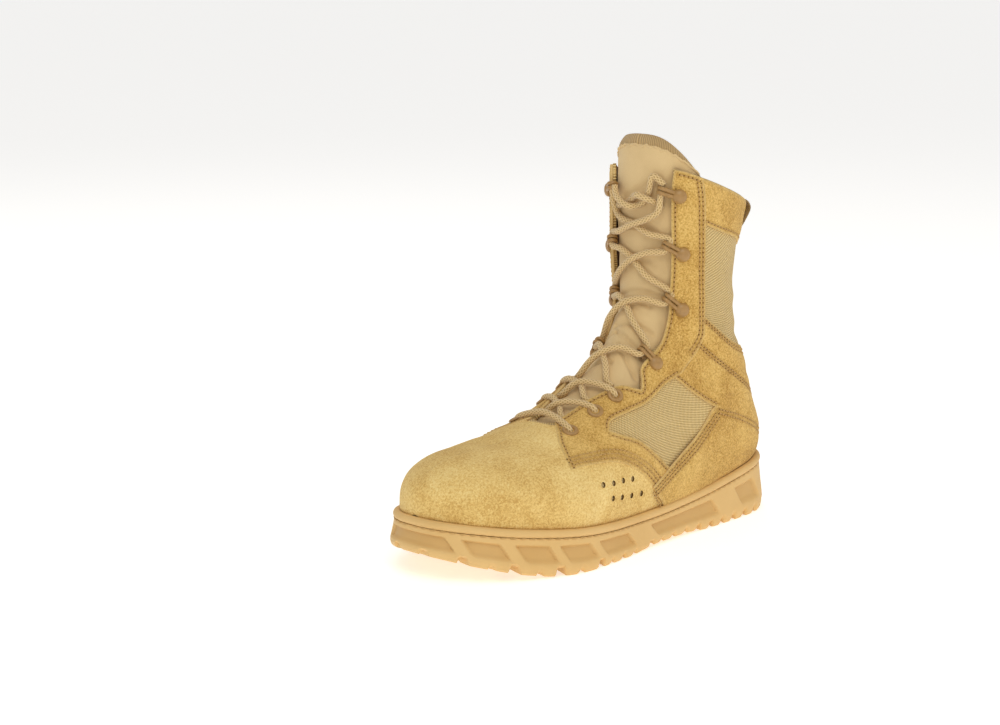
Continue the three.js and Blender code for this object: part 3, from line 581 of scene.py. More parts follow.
def suede(name, light, middle, dark, nap=1.0):
    """Rough-out suede: fine raised nap and brushed patches, painted shade darkening the stitched troughs, and paler at
    cut edges.
    """
    material, tree, shader = finish(name, 0.95, Sheen_Weight=0.35, Sheen_Roughness=0.45, Specular_IOR_Level=0.12,
                                    Sheen_Tint=rgb("FFE9BE"))
    place = add(tree, "ShaderNodeTexCoord").outputs["Object"]
    brushed = add(tree, "ShaderNodeTexNoise", {"Vector": place, "Scale": 30, "Detail": 4, "Roughness": 0.55,
                                               "Distortion": 0.8})
    speck = add(tree, "ShaderNodeTexNoise", {"Vector": place, "Scale": 1900, "Detail": 2, "Roughness": 0.7})
    clump = add(tree, "ShaderNodeTexNoise", {"Vector": place, "Scale": NAP, "Detail": 3, "Roughness": 0.65})
    grain = add(tree, "ShaderNodeMath", {0: speck.outputs[0], 1: 0.45, 2: clump.outputs[0]}, operation="MULTIPLY_ADD")
    both = add(tree, "ShaderNodeMath", {0: brushed.outputs[0], 1: 0.55, 2: grain.outputs[0]}, operation="MULTIPLY_ADD")
    ramp = add(tree, "ShaderNodeValToRGB", {"Fac": add(tree, "ShaderNodeMapRange", {
        "Value": both.outputs[0], "From Min": 0.80, "From Max": 1.20}).outputs[0]})
    ramp.color_ramp.elements[0].color, ramp.color_ramp.elements[1].color = rgb(dark), rgb(light)
    ramp.color_ramp.elements.new(0.5).color = rgb(middle)
    seam = add(tree, "ShaderNodeAttribute", attribute_name="seam").outputs["Fac"]
    edge = add(tree, "ShaderNodeAttribute", attribute_name="edge").outputs["Fac"]
    # Painted shade: the seam mark mixes the suede about a third of the way to dark brown in the stitched troughs.
    deep = add(tree, "ShaderNodeMath", {0: seam, 1: 0.34}, operation="MULTIPLY")
    shaded = add(tree, "ShaderNodeMix", {"Factor": deep.outputs[0], "A": ramp.outputs[0], "B": rgb("86602A")},
                 data_type="RGBA")
    pale = add(tree, "ShaderNodeMath", {0: edge, 1: 0.5}, operation="MULTIPLY")
    cut = add(tree, "ShaderNodeMix", {"Factor": pale.outputs[0], "A": shaded.outputs["Result"], "B": rgb("EBD193")},
              data_type="RGBA")
    tree.links.new(cut.outputs["Result"], shader.inputs["Base Color"])
    bump = add(tree, "ShaderNodeBump", {"Strength": 0.9 * nap, "Distance": 0.0008, "Height": grain.outputs[0]})
    tree.links.new(bump.outputs[0], shader.inputs["Normal"])
    return material


vamp_suede = suede("rough_out_suede_vamp", "FBE09A", "ECC97D", "CFA45A", 0.9)
leg_suede = suede("rough_out_suede_panels", "F0CC7E", "D8AE5F", "B38642")
cut_edge, tree, shader = finish("raw_suede_edge", 0.98, Base_Color=rgb("E3C58A"))
fuzz = add(tree, "ShaderNodeTexNoise",
           {"Vector": add(tree, "ShaderNodeTexCoord").outputs["Object"], "Scale": 1500, "Detail": 3})
tree.links.new(add(tree, "ShaderNodeBump",
                   {"Strength": 0.6, "Distance": 0.0004, "Height": fuzz.outputs[0]}).outputs[0],
               shader.inputs["Normal"])
thread, tree, shader = finish("bonded_nylon_thread", 0.6, Base_Color=rgb("C9A263"))
twist = add(tree, "ShaderNodeTexWave", {"Vector": add(tree, "ShaderNodeTexCoord").outputs["Object"], "Scale": 900,
                                        "Distortion": 1.0})
tree.links.new(add(tree, "ShaderNodeBump",
                   {"Strength": 0.4, "Distance": 0.0002, "Height": twist.outputs[0]}).outputs[0],
               shader.inputs["Normal"])

# A stitch row pulls a trough into the leather, and a cut edge rounds off, all in mm.
TROUGH_DEPTH, TROUGH_WIDTH, EDGE_DROP, EDGE_REACH, FAR = 0.6, 1.25, 0.5, 0.7, 9.0
seam_points = []        # where stitch rows run, in mm
stitch_places = []      # middle, direction and outward of every stitch


def densify(points, share, spacing=1.0):
    """A rounded flat line through corner-free points given as section and degrees."""
    flat = unroll([p[0] for p in points], np.radians([p[1] for p in points]), share)
    return smooth(flat, spacing) if len(points) > 2 else \
        flat[0] + (flat[1] - flat[0]) * np.linspace(0, 1, max(int(np.linalg.norm(flat[1] - flat[0]) / spacing),
                                                              2))[:, None]


def stitch_row(points, share, height, inset, side, pitch, trim=2.0):
    """Marks one row of stitches, inset mm to the right of a line of points; height is the leather's top."""
    flat = densify(points, share, 0.5)
    along = unit(np.gradient(flat, axis=0))
    flat = flat + inset * np.stack([along[:, 1], -along[:, 0]], -1)
    flat = smooth(flat[::4], 0.5) if len(flat) > 12 else flat
    u, phi = roll(flat, share)
    path = smooth(worn(u, side * phi, height(u, phi) if callable(height) else height), 0.5)
    outward = frame_on(u, side * phi)[2]
    outward = np.stack([np.interp(np.linspace(0, 1, len(path)), np.linspace(0, 1, len(outward)), outward[:, k])
                        for k in range(3)], -1)
    seam_points.extend(path[::2])
    step = int(pitch / 0.5)
    for i in range(int(trim / 0.5) + step // 2, len(path) - int(trim / 0.5), step):
        stitch_places.append((path[i], unit(path[min(i + 1, len(path) - 1)] - path[i - 1]), unit(outward[i])))


def panel(name, edges, top, thick, share, side, step=1.35):
    """A cut panel of leather laid on the last: its outline is a loop of edges, each a rounded line of points.

    Its face sinks along the stitch rows and rounds off at the cut edge. Cut flat, then rolled on to the last.
    """
    outline = np.concatenate([densify(e, share, 1.0)[:-1] for e in edges])
    low, high = outline.min(0), outline.max(0)
    rows = int((high[0] - low[0]) / (step * 0.87)) + 1
    inside = [(low[0] + (i + 0.5) * step * 0.87, low[1] + (j + 0.25 + 0.5 * (i % 2)) * step)
              for i in range(rows) for j in range(int((high[1] - low[1]) / step) + 1)]
    rim = kdtree.KDTree(len(outline))
    for i, p in enumerate(outline):
        rim.insert((p[0], p[1], 0), i)
    rim.balance()
    inside = [p for p in inside if rim.find((p[0], p[1], 0))[2] > 0.6 * step]
    count = len(outline)
    flat, _, faces, *_ = delaunay_2d_cdt([Vector(p) for p in outline] + [Vector(p) for p in inside], [],
                                         [list(range(count))], 1, 1e-5)
    flat = np.array([tuple(p) for p in flat])
    used = sorted({i for f in faces for i in f})
    renumber = {i: k for k, i in enumerate(used)}
    flat, faces = flat[used], [[renumber[i] for i in f] for f in faces]
    u, phi = roll(flat, share)
    phi = side * phi
    height = top(u, phi) if callable(top) else np.full(len(u), float(top))
    base = worn(u, phi, height)
    stitched = kdtree.KDTree(len(seam_points))
    for i, p in enumerate(seam_points):
        stitched.insert(p, i)
    stitched.balance()
    gap = np.array([min(stitched.find(p)[2], FAR) for p in base])
    from_rim = np.array([rim.find((p[0], p[1], 0))[2] for p in flat])
    trough = TROUGH_DEPTH * np.exp(-(gap / TROUGH_WIDTH) ** 2)
    rounded = EDGE_DROP * np.exp(-from_rim / EDGE_REACH)
    upper_points = worn(u, phi, height - trough - rounded)
    lower_points = worn(u, phi, height - thick)
    n = len(flat)
    down = [[i + n for i in f[::-1]] for f in faces]
    edge_count = {}
    for f in faces:
        for a, b in zip(f, f[1:] + f[:1]):
            edge_count[(a, b)] = 1
    walls = [(a, a + n, b + n, b) for a, b in edge_count if (b, a) not in edge_count]
    # The seam mark places the painted shade of the stitched troughs; the edge mark places the paler cut edge.
    made = piece(name, np.concatenate([upper_points, lower_points]), faces + down + walls, [leg_suede, cut_edge],
                 uv=np.concatenate([flat, flat]) * 0.001 * (1, side),
                 slots=[0] * len(faces) + [0] * len(down) + [1] * len(walls),
                 marks={"seam": np.concatenate([np.exp(-(gap / 1.1) ** 2), np.zeros(n)]),
                        "edge": np.concatenate([np.exp(-from_rim / 0.8), np.ones(n)])})
    corner = faces[0][0]
    if np.dot(np.array(made.data.polygons[0].normal), frame_on(u[corner], phi[corner])[2]) < 0:
        made.data.flip_normals()
    return made


# The vamp's rear edge: degrees, section.
VAMP_REAR = ((0, 2.0), (40, 2.1), (55, 2.2), (63, 2.5), (71, 2.8), (85, 3.15), (94, 3.4), (110, 3.65), (180, 3.7))


def under_eyestay(u, phi):
    """Draws the vamp's rear edge in to where the eyestay covers it."""
    end = np.interp(np.degrees(phi), [d for d, _ in VAMP_REAR], [r for _, r in VAMP_REAR])
    return np.where(u > 1.6, 1.6 + (u - 1.6) * (end - 1.6) / 2.15, u)


VAMP_ROWS = np.concatenate([-np.cos(np.linspace(0.06, math.pi / 2, 34)), np.linspace(0.04, 3.75, 110)])
vamp = shell("suede_vamp", VAMP_ROWS, 96, throat_angle, feather_angle, 1.2, 1.3, [vamp_suede, vamp_suede, cut_edge],
             rear=under_eyestay)
hole_dark, tree, shader = finish("shadowed_vent_lining", 1.0, Base_Color=rgb("6A4A1C"))
mesh_noise = add(tree, "ShaderNodeTexNoise", {"Scale": 900})
tree.links.new(add(tree, "ShaderNodeBump",
                   {"Strength": 0.5, "Distance": 0.0003, "Height": mesh_noise.outputs[0]}).outputs[0],
               shader.inputs["Normal"])
punches = []
for side in (-1, 1):
    for u, degrees in VENTS:
        phi = side * math.radians(degrees)
        outward = Vector(frame_on(u, phi)[2])
        centre = Vector(worn(np.array([u]), np.array([phi]), 1.0)[0]) * 0.001
        bpy.ops.mesh.primitive_cylinder_add(vertices=20, radius=VENT_RADIUS, depth=VENT_DEPTH)
        punch = bpy.context.object
        punch.data.transform(Matrix.Translation(centre) @ outward.to_track_quat("Z", "Y").to_matrix().to_4x4())
        punches.append(punch)
bpy.ops.object.select_all(action="DESELECT")
for punch in punches:
    punch.select_set(True)
bpy.context.view_layer.objects.active = punches[0]
bpy.ops.object.join()
punch = bpy.context.object
punch.data.materials.append(hole_dark)
vamp.data.materials.append(hole_dark)
cutting = vamp.modifiers.new("punched_holes", "BOOLEAN")
cutting.operation, cutting.object, cutting.solver = "DIFFERENCE", punch, "EXACT"
bpy.ops.object.select_all(action="DESELECT")
vamp.select_set(True)
bpy.context.view_layer.objects.active = vamp
bpy.ops.object.modifier_apply(modifier=cutting.name)
bpy.data.objects.remove(punch, do_unlink=True)

# ---- Eyestays, ankle bands, heel counter, collar and back stay -------------------------------------
# Suede panels 1.6 mm thick, sewn on with raw edges: the eyestays with their long front leg to the sole,
# a sloping two-strip band round the ankle, the counter, a collar band and a narrow strip up the back.
EYESTAY_THROAT = ((11.98, 40.5), (11.6, 38.6), (11.05, 38.8), (9.85, 40.8), (8.4, 39.4), (6.75, 38.6), (5.55, 39.8),
                  (5.0, 38.4),
                  (4.55, 36.3), (4.25, 36.5), (4.0, 41.5), (3.82, 44.0), (3.62, 40), (3.3, 31.5), (2.9, 24.5),
                  (2.55, 18.8),
                  (2.3, 16), (2.05, 13.8), (1.78, 12.4))
EYESTAY_TOE = ((1.78, 12.4), (1.6, 19.5), (1.34, 30), (1.16, 46), (1.10, 55))
EYESTAY_ARC = ((1.10, 55), (1.60, 57), (2.15, 63), (2.5, 71.5), (2.9, 85.5), (3.15, 94), (3.35, 110), (3.5, 129.5),
               (3.55, 143))
EYESTAY_SOLE = ((3.55, 143), (4.75, 146))
EYESTAY_UNDER_COUNTER = ((4.75, 146), (4.5, 118), (4.4, 100), (4.35, 93.5))
WINDOW_LOW = ((4.35, 93.5), (3.75, 90), (3.5, 81.5), (3.0, 65), (2.62, 53.5), (2.45, 46.5))
WINDOW_HIGH = ((2.45, 46.5), (2.55, 42.5), (3.0, 46.5), (3.75, 52), (4.65, 54.5), (5.30, 58.5))
EYESTAY_REAR = ((5.30, 58.5), (6.0, 60.0), (6.9, 64), (7.9, 69), (8.6, 72.5), (9.45, 76), (10.55, 76), (11.6, 72),
                (11.98, 68.5))
EYESTAY_TOP = ((11.98, 68.5), (12.0, 52), (11.98, 40.5))
COUNTER_FRONT = ((3.10, 93.0), (3.22, 101), (3.36, 111), (3.5, 129.5), (3.55, 143))
COUNTER_TOP = ((3.10, 93.0), (3.75, 89.0), (4.35, 86.5), (5.0, 85.5), (5.75, 84.5), (6.35, 96), (6.9, 118),
               (7.25, 150), (7.35, 180))
BAND_LOW = ((5.05, 55.5), (5.35, 72), (5.70, 85.5), (6.15, 100), (6.55, 124), (6.85, 150), (6.9, 180))
BAND_MIDDLE = ((6.95, 61), (7.1, 73.5), (7.35, 85.5), (7.75, 106), (8.05, 140), (8.1, 180))
BAND_TOP = ((8.40, 66), (8.45, 81), (8.55, 99), (8.8, 128), (8.95, 158), (9.0, 180))
COLLAR_LOW = ((10.90, 72), (10.95, 90), (11.05, 116), (11.05, 150), (11.0, 180))


def leg_height(u, phi):
    """The eyestay lies 2.1 mm proud, and thins to 1.6 mm in the leg that the counter overlaps."""
    deep = np.clip((np.degrees(np.abs(phi)) - 80) / 16, 0, 1)
    return 2.15 - 0.35 * deep


def counter_height(u, phi):
    """The counter steps up where it lies over the leg."""
    over = 1 / (1 + np.exp((u - 4.75) / 0.09))
    return 1.7 + 1.45 * over


# Stitch rows: the edge that each follows, share of the way round at which it is cut, height, insets, pitch.
STITCH_ROWS = (
    (EYESTAY_THROAT[1:], 0.35, 2.15, (2.6,), 3.4), (EYESTAY_TOE, 0.35, 2.15, (2.6,), 3.4),
    (EYESTAY_ARC[:-1], 0.5, 2.0, (2.4, 5.0, 7.6), 3.2), (EYESTAY_REAR[1:], 0.4, 2.15, (2.4, 5.2), 3.4),
    (WINDOW_HIGH, 0.4, 2.15, (2.4,), 3.4), (WINDOW_LOW[1:], 0.4, 2.1, (2.4,), 3.4),
    (EYESTAY_TOP, 0.4, 2.15, (2.6,), 3.4), (COUNTER_TOP[:5], 0.5, counter_height, (-2.2, -4.7, -7.2), 3.2),
    (COUNTER_TOP[4:], 0.6, counter_height, (-2.2, -4.7), 3.2), (COUNTER_FRONT[:4], 0.5, counter_height, (-2.2,), 3.4),
    (BAND_LOW[:3], 0.5, 1.7, (2.4,), 3.4), (BAND_MIDDLE, 0.5, 1.7, (-1.4, 1.4), 3.4),
    (BAND_TOP, 0.5, 1.7, (-2.4, -5.0), 3.4), (COLLAR_LOW, 0.5, 1.5, (2.4,), 3.4))
for side in (-1, 1):
    for edge, share, height, insets, pitch in STITCH_ROWS:
        for inset in insets:
            stitch_row(edge, share, height, inset, side, pitch)

SIDES = ((-1, "lateral"), (1, "medial"))
heel_run = [(float(u), float(np.degrees(feather_angle(np.array([u]))[0]))) for u in np.linspace(3.6, 6.7, 12)]
for side, hand in SIDES:
    panel(f"suede_ankle_band_{hand}",
          [BAND_LOW, ((6.9, 180), (9.0, 180)), BAND_TOP[::-1], ((8.40, 66), (6.95, 61), (5.05, 55.5))],
          1.7, 1.9, 0.5, side)
    panel(f"suede_eyestay_{hand}", [EYESTAY_THROAT, EYESTAY_TOE, EYESTAY_ARC, EYESTAY_SOLE, EYESTAY_UNDER_COUNTER,
                                    WINDOW_LOW, WINDOW_HIGH, EYESTAY_REAR, EYESTAY_TOP], leg_height, 2.3, 0.4, side,
          step=1.25)
    panel(f"suede_collar_band_{hand}",
          [((11.98, 66), (10.90, 70)), ((10.90, 70),) + COLLAR_LOW[1:], ((11.0, 180), (11.98, 180)),
                                        ((11.98, 180), (11.98, 66))], 1.5, 1.7, 0.5, side)
    panel(f"suede_heel_counter_{hand}",
          [COUNTER_FRONT, [(3.55, 143)] + heel_run + [(6.78, 180)], ((6.78, 180), (7.35, 180)),
                                         COUNTER_TOP[::-1]], counter_height, 1.7, 0.75, side)
for side, hand in SIDES:
    panel(f"suede_back_stay_{hand}",
          [((7.2, 180), (11.2, 180)), ((11.2, 180), (11.2, 168)), ((11.2, 168), (9.2, 168), (7.2, 166)),
                                      ((7.2, 166), (7.2, 180))], 2.3, 2.4, 0.95, side)


def turn_outward(made):
    """Makes the faces of a closed mesh point outward."""
    bm = bmesh.new()
    bm.from_mesh(made.data)
    bmesh.ops.recalc_face_normals(bm, faces=bm.faces)
    bm.to_mesh(made.data)
    bm.free()


# Stitches: 2.2 mm of thread lying in each trough, its two ends pulled down into the needle holes.
def sewn(name, places, length, radius, material):
    """One mesh of small bent threads, one for each place."""
    points, faces = [], []
    sides, rows = 6, ((-0.5, -0.9, 0.55), (-0.36, 0.1, 0.95), (0.0, 0.45, 1.05), (0.36, 0.1, 0.95), (0.5, -0.9, 0.55))
    for centre, along, outward in places:
        across = np.cross(along, outward)
        first = len(points)
        for run, rise, full in rows:
            for j in range(sides):
                turn = 2 * math.pi * j / sides
                points.append(centre + along * run * length + outward * (rise * radius + full * radius * math.sin(turn))
                              + across * full * radius * math.cos(turn))
        for i in range(len(rows) - 1):
            for j in range(sides):
                a, b = first + i * sides + j, first + i * sides + (j + 1) % sides
                faces.append((a, a + sides, b + sides, b))
        faces.append([first + j for j in range(sides)])
        faces.append([first + (len(rows) - 1) * sides + j for j in range(sides - 1, -1, -1)])
    made = piece(name, points, faces, [material])
    turn_outward(made)
    return made


sewn("panel_stitching", [(c - 0.4 * o, a, o) for c, a, o in stitch_places], 2.2, 0.42, thread)

# Needle holes: the punched pits at both ends of every stitch, dark because no light reaches into them.
needle_dark, tree, shader = finish("shadowed_needle_holes", 1.0, Base_Color=rgb("7A5424"))
PIT_SIDES, PIT_RADIUS, PIT_REACH, PIT_SINK = 8, 0.62, 1.35, 0.52      # mm; reach is from the stitch's middle
pit_points, pit_faces = [], []
for centre, along, outward in stitch_places:
    across = np.cross(along, outward)
    for end in (-PIT_REACH, PIT_REACH):
        first, middle_point = len(pit_points), centre + along * end - PIT_SINK * outward
        for j in range(PIT_SIDES):
            turn = 2 * math.pi * j / PIT_SIDES
            pit_points.append(middle_point + PIT_RADIUS * (along * math.cos(turn) + across * math.sin(turn)))
        pit_points += [middle_point + 0.22 * outward, middle_point - 0.5 * outward]
        for j in range(PIT_SIDES):
            k = first + (j + 1) % PIT_SIDES
            pit_faces += [(first + j, k, first + PIT_SIDES), (k, first + j, first + PIT_SIDES + 1)]
pits = piece("needle_holes", pit_points, pit_faces, [needle_dark])
turn_outward(pits)

# ---- Eyelets --------------------------------------------------------------------------------
# Brass eyelets with tan lacquer: a rolled flange outside, a barrel through the leather. Six alike.
enamel, tree, shader = finish("tan_lacquered_brass", 0.42, Base_Color=rgb("B8925A"), Coat_Weight=0.25,
                              Coat_Roughness=0.35)
scuff = add(tree, "ShaderNodeTexNoise",
            {"Vector": add(tree, "ShaderNodeTexCoord").outputs["Object"], "Scale": 420, "Detail": 4})
tone = add(tree, "ShaderNodeMix", {"Factor": scuff.outputs[0], "A": rgb("94703A"), "B": rgb("B98F55")},
           data_type="RGBA")
tree.links.new(tone.outputs["Result"], shader.inputs["Base Color"])
tree.links.new(add(tree, "ShaderNodeBump",
                   {"Strength": 0.15, "Distance": 0.0003, "Height": scuff.outputs[0]}).outputs[0],
               shader.inputs["Normal"])
FLANGE_PROFILE = ((2.5, -2.8), (2.5, 2.6), (2.9, 3.15), (3.6, 3.45), (4.4, 3.35), (5.0, 2.9), (5.2, 2.2), (3.3, 1.9),
                  (3.2, -2.8))


def turned(name, profile, count=40):
    """A turned ring: a circle of edges extruded and resized along the profile of radius and height in mm."""
    bpy.ops.object.select_all(action="DESELECT")
    bpy.ops.mesh.primitive_circle_add(vertices=count, radius=profile[0][0] * 0.001, location=(0, 0, 0))
    made = bpy.context.object
    made.name = name
    bpy.ops.object.mode_set(mode="EDIT")
    bpy.ops.mesh.select_all(action="SELECT")
    bpy.ops.transform.translate(value=(0, 0, profile[0][1] * 0.001))
    for (r0, h0), (r1, h1) in zip(profile, profile[1:]):
        bpy.ops.mesh.extrude_region_move(TRANSFORM_OT_translate={"value": (0, 0, (h1 - h0) * 0.001)})
        bpy.ops.transform.resize(value=(r1 / r0, r1 / r0, 1), center_override=(0, 0, 0))
    bpy.ops.object.mode_set(mode="OBJECT")
    return made


def fastening_matrix(u, y):
    """Place on the upper of a fastening: its +Z outward and +X toward the middle of the throat."""
    phi = angle_at(u, y)
    along, around, outward = frame_on(u, phi)
    inward = -math.copysign(1, y) * around
    m = Matrix(np.stack([inward, np.cross(outward, inward), outward], -1).tolist()).to_4x4()
    m.translation = Vector(on_last(u, phi) * 0.001)
    return m


ring_model = turned("eyelet_model", FLANGE_PROFILE)
bm = bmesh.new()
bm.from_mesh(ring_model.data)
low = [e for e in bm.edges if e.is_boundary]
bmesh.ops.bridge_loops(bm, edges=low)
bmesh.ops.recalc_face_normals(bm, faces=bm.faces)
bm.to_mesh(ring_model.data)
bm.free()
for side, hand in SIDES:
    for i, (u, y) in enumerate(EYELETS):
        mesh = ring_model.data.copy()
        mesh.transform(fastening_matrix(u, side * y))
        mesh.materials.append(enamel)
        mesh.polygons.foreach_set("use_smooth", [True] * len(mesh.polygons))
        made = bpy.data.objects.new(f"flanged_eyelet_{hand}_{i + 1}", mesh)
        bpy.context.scene.collection.objects.link(made)
        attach(made, "root")
        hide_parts(f"eyelet_{hand}_{i + 1}")
bpy.data.objects.remove(ring_model, do_unlink=True)

# ---- Lace loops -----------------------------------------------------------------------------
# A domed tan rivet holds a doubled band that reaches past the edge and rings the lace. Eight alike.
DOME_PROFILE = ((4.5, 1.6), (4.75, 2.3), (4.65, 3.1), (4.25, 3.95), (3.4, 4.75), (2.3, 5.3), (1.1, 5.55), (0.02, 5.6))
dome_model = turned("rivet_model", DOME_PROFILE, 32)
BAND_HALF, BAND_SPLIT = 1.25, 1.45          # half width of one band, and its distance from the middle


def band_path():
    """The band's line in the plane across the throat's edge: over the leather, round the lace, and back."""
    reach, drop, radius = EYE["reach"], EYE["drop"], 2.95
    arc = [(reach + radius * math.cos(t), drop + radius * math.sin(t)) for t in np.radians(np.linspace(118, -128, 15))]
    return smooth([(1.5, 3.2), (4.5, 3.3), (7.2, 3.0)] + arc + [(7.6, -2.3), (5.4, -1.2)], 0.5)


for side, hand in SIDES:
    for i, (u, y) in enumerate(LOOPS):
        path = band_path()
        tangent = unit(np.gradient(path, axis=0))
        across = np.stack([-tangent[:, 1], tangent[:, 0]], -1)
        points, faces = [], []
        for lane in (-BAND_SPLIT, BAND_SPLIT):
            first = len(points)
            for p, n in zip(path, across):
                for j in range(10):
                    turn = 2 * math.pi * j / 10
                    q = p + n * 0.8 * math.sin(turn)
                    points.append((q[0], lane + BAND_HALF * math.cos(turn), q[1]))
            for k in range(len(path) - 1):
                for j in range(10):
                    a, b = first + k * 10 + j, first + k * 10 + (j + 1) % 10
                    faces.append((a, b, b + 10, a + 10))
            faces.append([first + j for j in range(9, -1, -1)])
            faces.append([first + (len(path) - 1) * 10 + j for j in range(10)])
        made = piece(f"rivet_and_lace_loop_{hand}_{i + 1}", points, faces, [enamel])
        bm = bmesh.new()
        bm.from_mesh(made.data)
        bm.from_mesh(dome_model.data)
        bmesh.ops.holes_fill(bm, edges=[e for e in bm.edges if e.is_boundary], sides=40)
        bmesh.ops.recalc_face_normals(bm, faces=bm.faces)
        bm.to_mesh(made.data)
        bm.free()
        made.data.polygons.foreach_set("use_smooth", [True] * len(made.data.polygons))
        made.data.transform(fastening_matrix(u, side * y))
        made.data.update()
        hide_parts(f"lace_loop_{hand}_{i + 1}")
bpy.data.objects.remove(dome_model, do_unlink=True)

# ---- Tongue ---------------------------------------------------------------------------------
# A soft foam-filled tongue of smooth tan cloth that wraps the shin and stands above the collar. Its top
# is bound with ribbed tape behind a puckered cord. The laces press into it and it swells between them.
TONGUE = ((1.35, 24), (2.2, 34), (3.0, 44), (5.0, 52), (8.0, 60), (12.0, 74))    # section, half angle
TONGUE_SINK, TONGUE_THICK, TONGUE_RISE, BIND_FROM = 4.1, 6.0, 17.6, 0.60
# Folds in the cloth: section and share of the half width at both ends, half width and depth in mm.
FOLDS = ((4.05, -0.75, 4.35, -0.2, 2.2, 1.6), (4.7, -0.7, 4.9, 0.1, 2.0, 1.2), (5.6, -0.62, 5.2, 0.2, 2.4, 1.3),
         (6.6, 0.5, 6.9, -0.4, 2.6, 0.9), (7.8, -0.55, 7.2, 0.3, 2.4, 0.9), (8.9, -0.5, 9.3, 0.4, 2.6, 0.7),
         (10.3, 0.5, 10.1, -0.3, 2.6, 0.8), (3.4, 0.6, 3.7, -0.2, 1.8, 1.2), (11.5, -0.2, 10.9, 0.3, 3.0, 0.7),
         (4.4, 0.75, 4.9, 0.15, 2.2, 1.3), (5.9, 0.7, 6.3, 0.1, 2.2, 0.9), (11.9, -0.6, 11.2, -0.35, 3.0, 0.6))
tongue_half = through([p[0] for p in TONGUE], [math.radians(p[1]) for p in TONGUE])
tongue_cloth = woven("soft_polyester_tongue_cloth", "E8CC98", "CFAF7A", 0.0008, 0.00008, 0.8, 1.4)
tongue_back = woven("tongue_lining_cloth", "C7A277", "A98357", 0.0010, 0.0001, 0.9)
ribbed, tree, shader = finish("ribbed_binding_tape", 0.85, Sheen_Weight=0.2, Specular_IOR_Level=0.2)
flat = add(tree, "ShaderNodeSeparateXYZ", {"Vector": add(tree, "ShaderNodeUVMap", uv_map="cloth").outputs[0]})
turn = add(tree, "ShaderNodeMath", {0: flat.outputs[1], 1: 2 * math.pi / 0.0014}, operation="MULTIPLY")
rib = add(tree, "ShaderNodeMath", {0: turn.outputs[0]}, operation="SINE")
tone = add(tree, "ShaderNodeMix",
           {"Factor": add(tree, "ShaderNodeMapRange", {"Value": rib.outputs[0], "From Min": -1.0}).outputs[0],
                                   "A": rgb("A6875A"), "B": rgb("CFB07C")}, data_type="RGBA")
tree.links.new(tone.outputs["Result"], shader.inputs["Base Color"])
tree.links.new(add(tree, "ShaderNodeBump", {"Strength": 0.7, "Distance": 0.0003, "Height": rib.outputs[0]}).outputs[0],
               shader.inputs["Normal"])


def two_faced(name, outer, inner, materials, uv, slots=None):
    """A closed padded sheet from matching outer and inner grids of points."""
    rows, columns = outer.shape[:2]
    count = rows * columns
    faces, slot_of = [], []
    for i in range(rows - 1):
        for j in range(columns - 1):
            a = i * columns + j
            faces.append((a, a + 1, a + columns + 1, a + columns))
            slot_of.append(int(slots[i, j]) if slots is not None else 0)
    for f in list(faces):
        faces.append(tuple(count + i for i in f[::-1]))
        slot_of.append(1)
    rim = list(range(columns)) + [i * columns + columns - 1 for i in range(1, rows)] + \
        [(rows - 1) * columns + j for j in range(columns - 2, -1, -1)] + [i * columns for i in range(rows - 2, 0, -1)]
    for a, b in zip(rim, rim[1:] + rim[:1]):
        faces.append((b, a, a + count, b + count))
        slot_of.append(1)
    made = piece(name, np.concatenate([outer.reshape(-1, 3), inner.reshape(-1, 3)]), faces, materials,
                 uv=np.concatenate([uv.reshape(-1, 2)] * 2), slots=slot_of)
    turn_outward(made)
    return made


up = unit(on_last(COLLAR, 0.0) - on_last(COLLAR - 1, 0.0))
rows = np.concatenate([np.linspace(1.4, COLLAR, 190), np.linspace(COLLAR + 0.06, COLLAR + 1, 22)])
shares = np.linspace(-1, 1, 90)
grid_u, grid_t = np.meshgrid(rows, shares, indexing="ij")


def tongue_face(u, t, out):
    capped = np.minimum(u, COLLAR)
    lift = (u - capped) * TONGUE_RISE * (1 - np.abs(t) ** 2.5)
    return skin(capped, t * tongue_half(capped), out) + up * lift[..., None]


plain = tongue_face(grid_u, grid_t, np.full(grid_u.shape, -TONGUE_SINK))
swell = 1.3 * (1 - grid_t ** 2) * np.ones_like(grid_u)
for u0, t0, u1, t1, half_width, depth in FOLDS:
    line_u, line_t = np.linspace(u0, u1, 20), np.linspace(t0, t1, 20)
    line = tongue_face(line_u, line_t, np.full(20, -TONGUE_SINK))
    near = np.min(np.linalg.norm(plain[:, :, None, :] - line[None, None, :, :], axis=-1), axis=2)
    swell -= 1.7 * depth * np.exp(-(near / (0.85 * half_width)) ** 2)
for middle in (2.22, 2.74, 3.80) + HIGH_MIDDLES:
    swell -= 0.7 * np.exp(-((grid_u - middle) / 0.16) ** 2 - (grid_t / 0.3) ** 2)
flat_points = plain.reshape(-1, 3)
swell += np.array([noise.noise(Vector(q) * 0.05) * 0.8 + noise.noise(Vector(q) * 0.14) * 0.3
                   for q in flat_points]).reshape(swell.shape)
edge_round = 2.4 * np.exp(-(1 - np.abs(grid_t)) / 0.05) + 2.2 * np.clip((grid_u - COLLAR - 0.72) / 0.28, 0, 1) ** 2
bound = grid_u > COLLAR + BIND_FROM
rim_swell = np.where(bound, 0.3, swell * np.clip(1.3 - np.maximum(grid_u - COLLAR, 0), 0, 1))
outer = tongue_face(grid_u, grid_t, -TONGUE_SINK + np.clip(rim_swell, -2.2, 1.2) - edge_round)
inner = tongue_face(grid_u, grid_t, -TONGUE_SINK - TONGUE_THICK + edge_round * 0.9 + 0.3 * np.minimum(swell, 0.5))
tongue_uv = np.stack([np.interp(grid_u, table_u, table_climb[:, 60]) * 0.001 + np.maximum(grid_u - COLLAR, 0) * 0.018,
                      grid_t * 0.05], -1)
cell = np.where(rows[:-1, None] > COLLAR + BIND_FROM, 2, 0) * np.ones((1, 89))
tongue = two_faced("padded_tongue", outer, inner, [tongue_cloth, tongue_back, ribbed], tongue_uv, cell)
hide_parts("tongue")
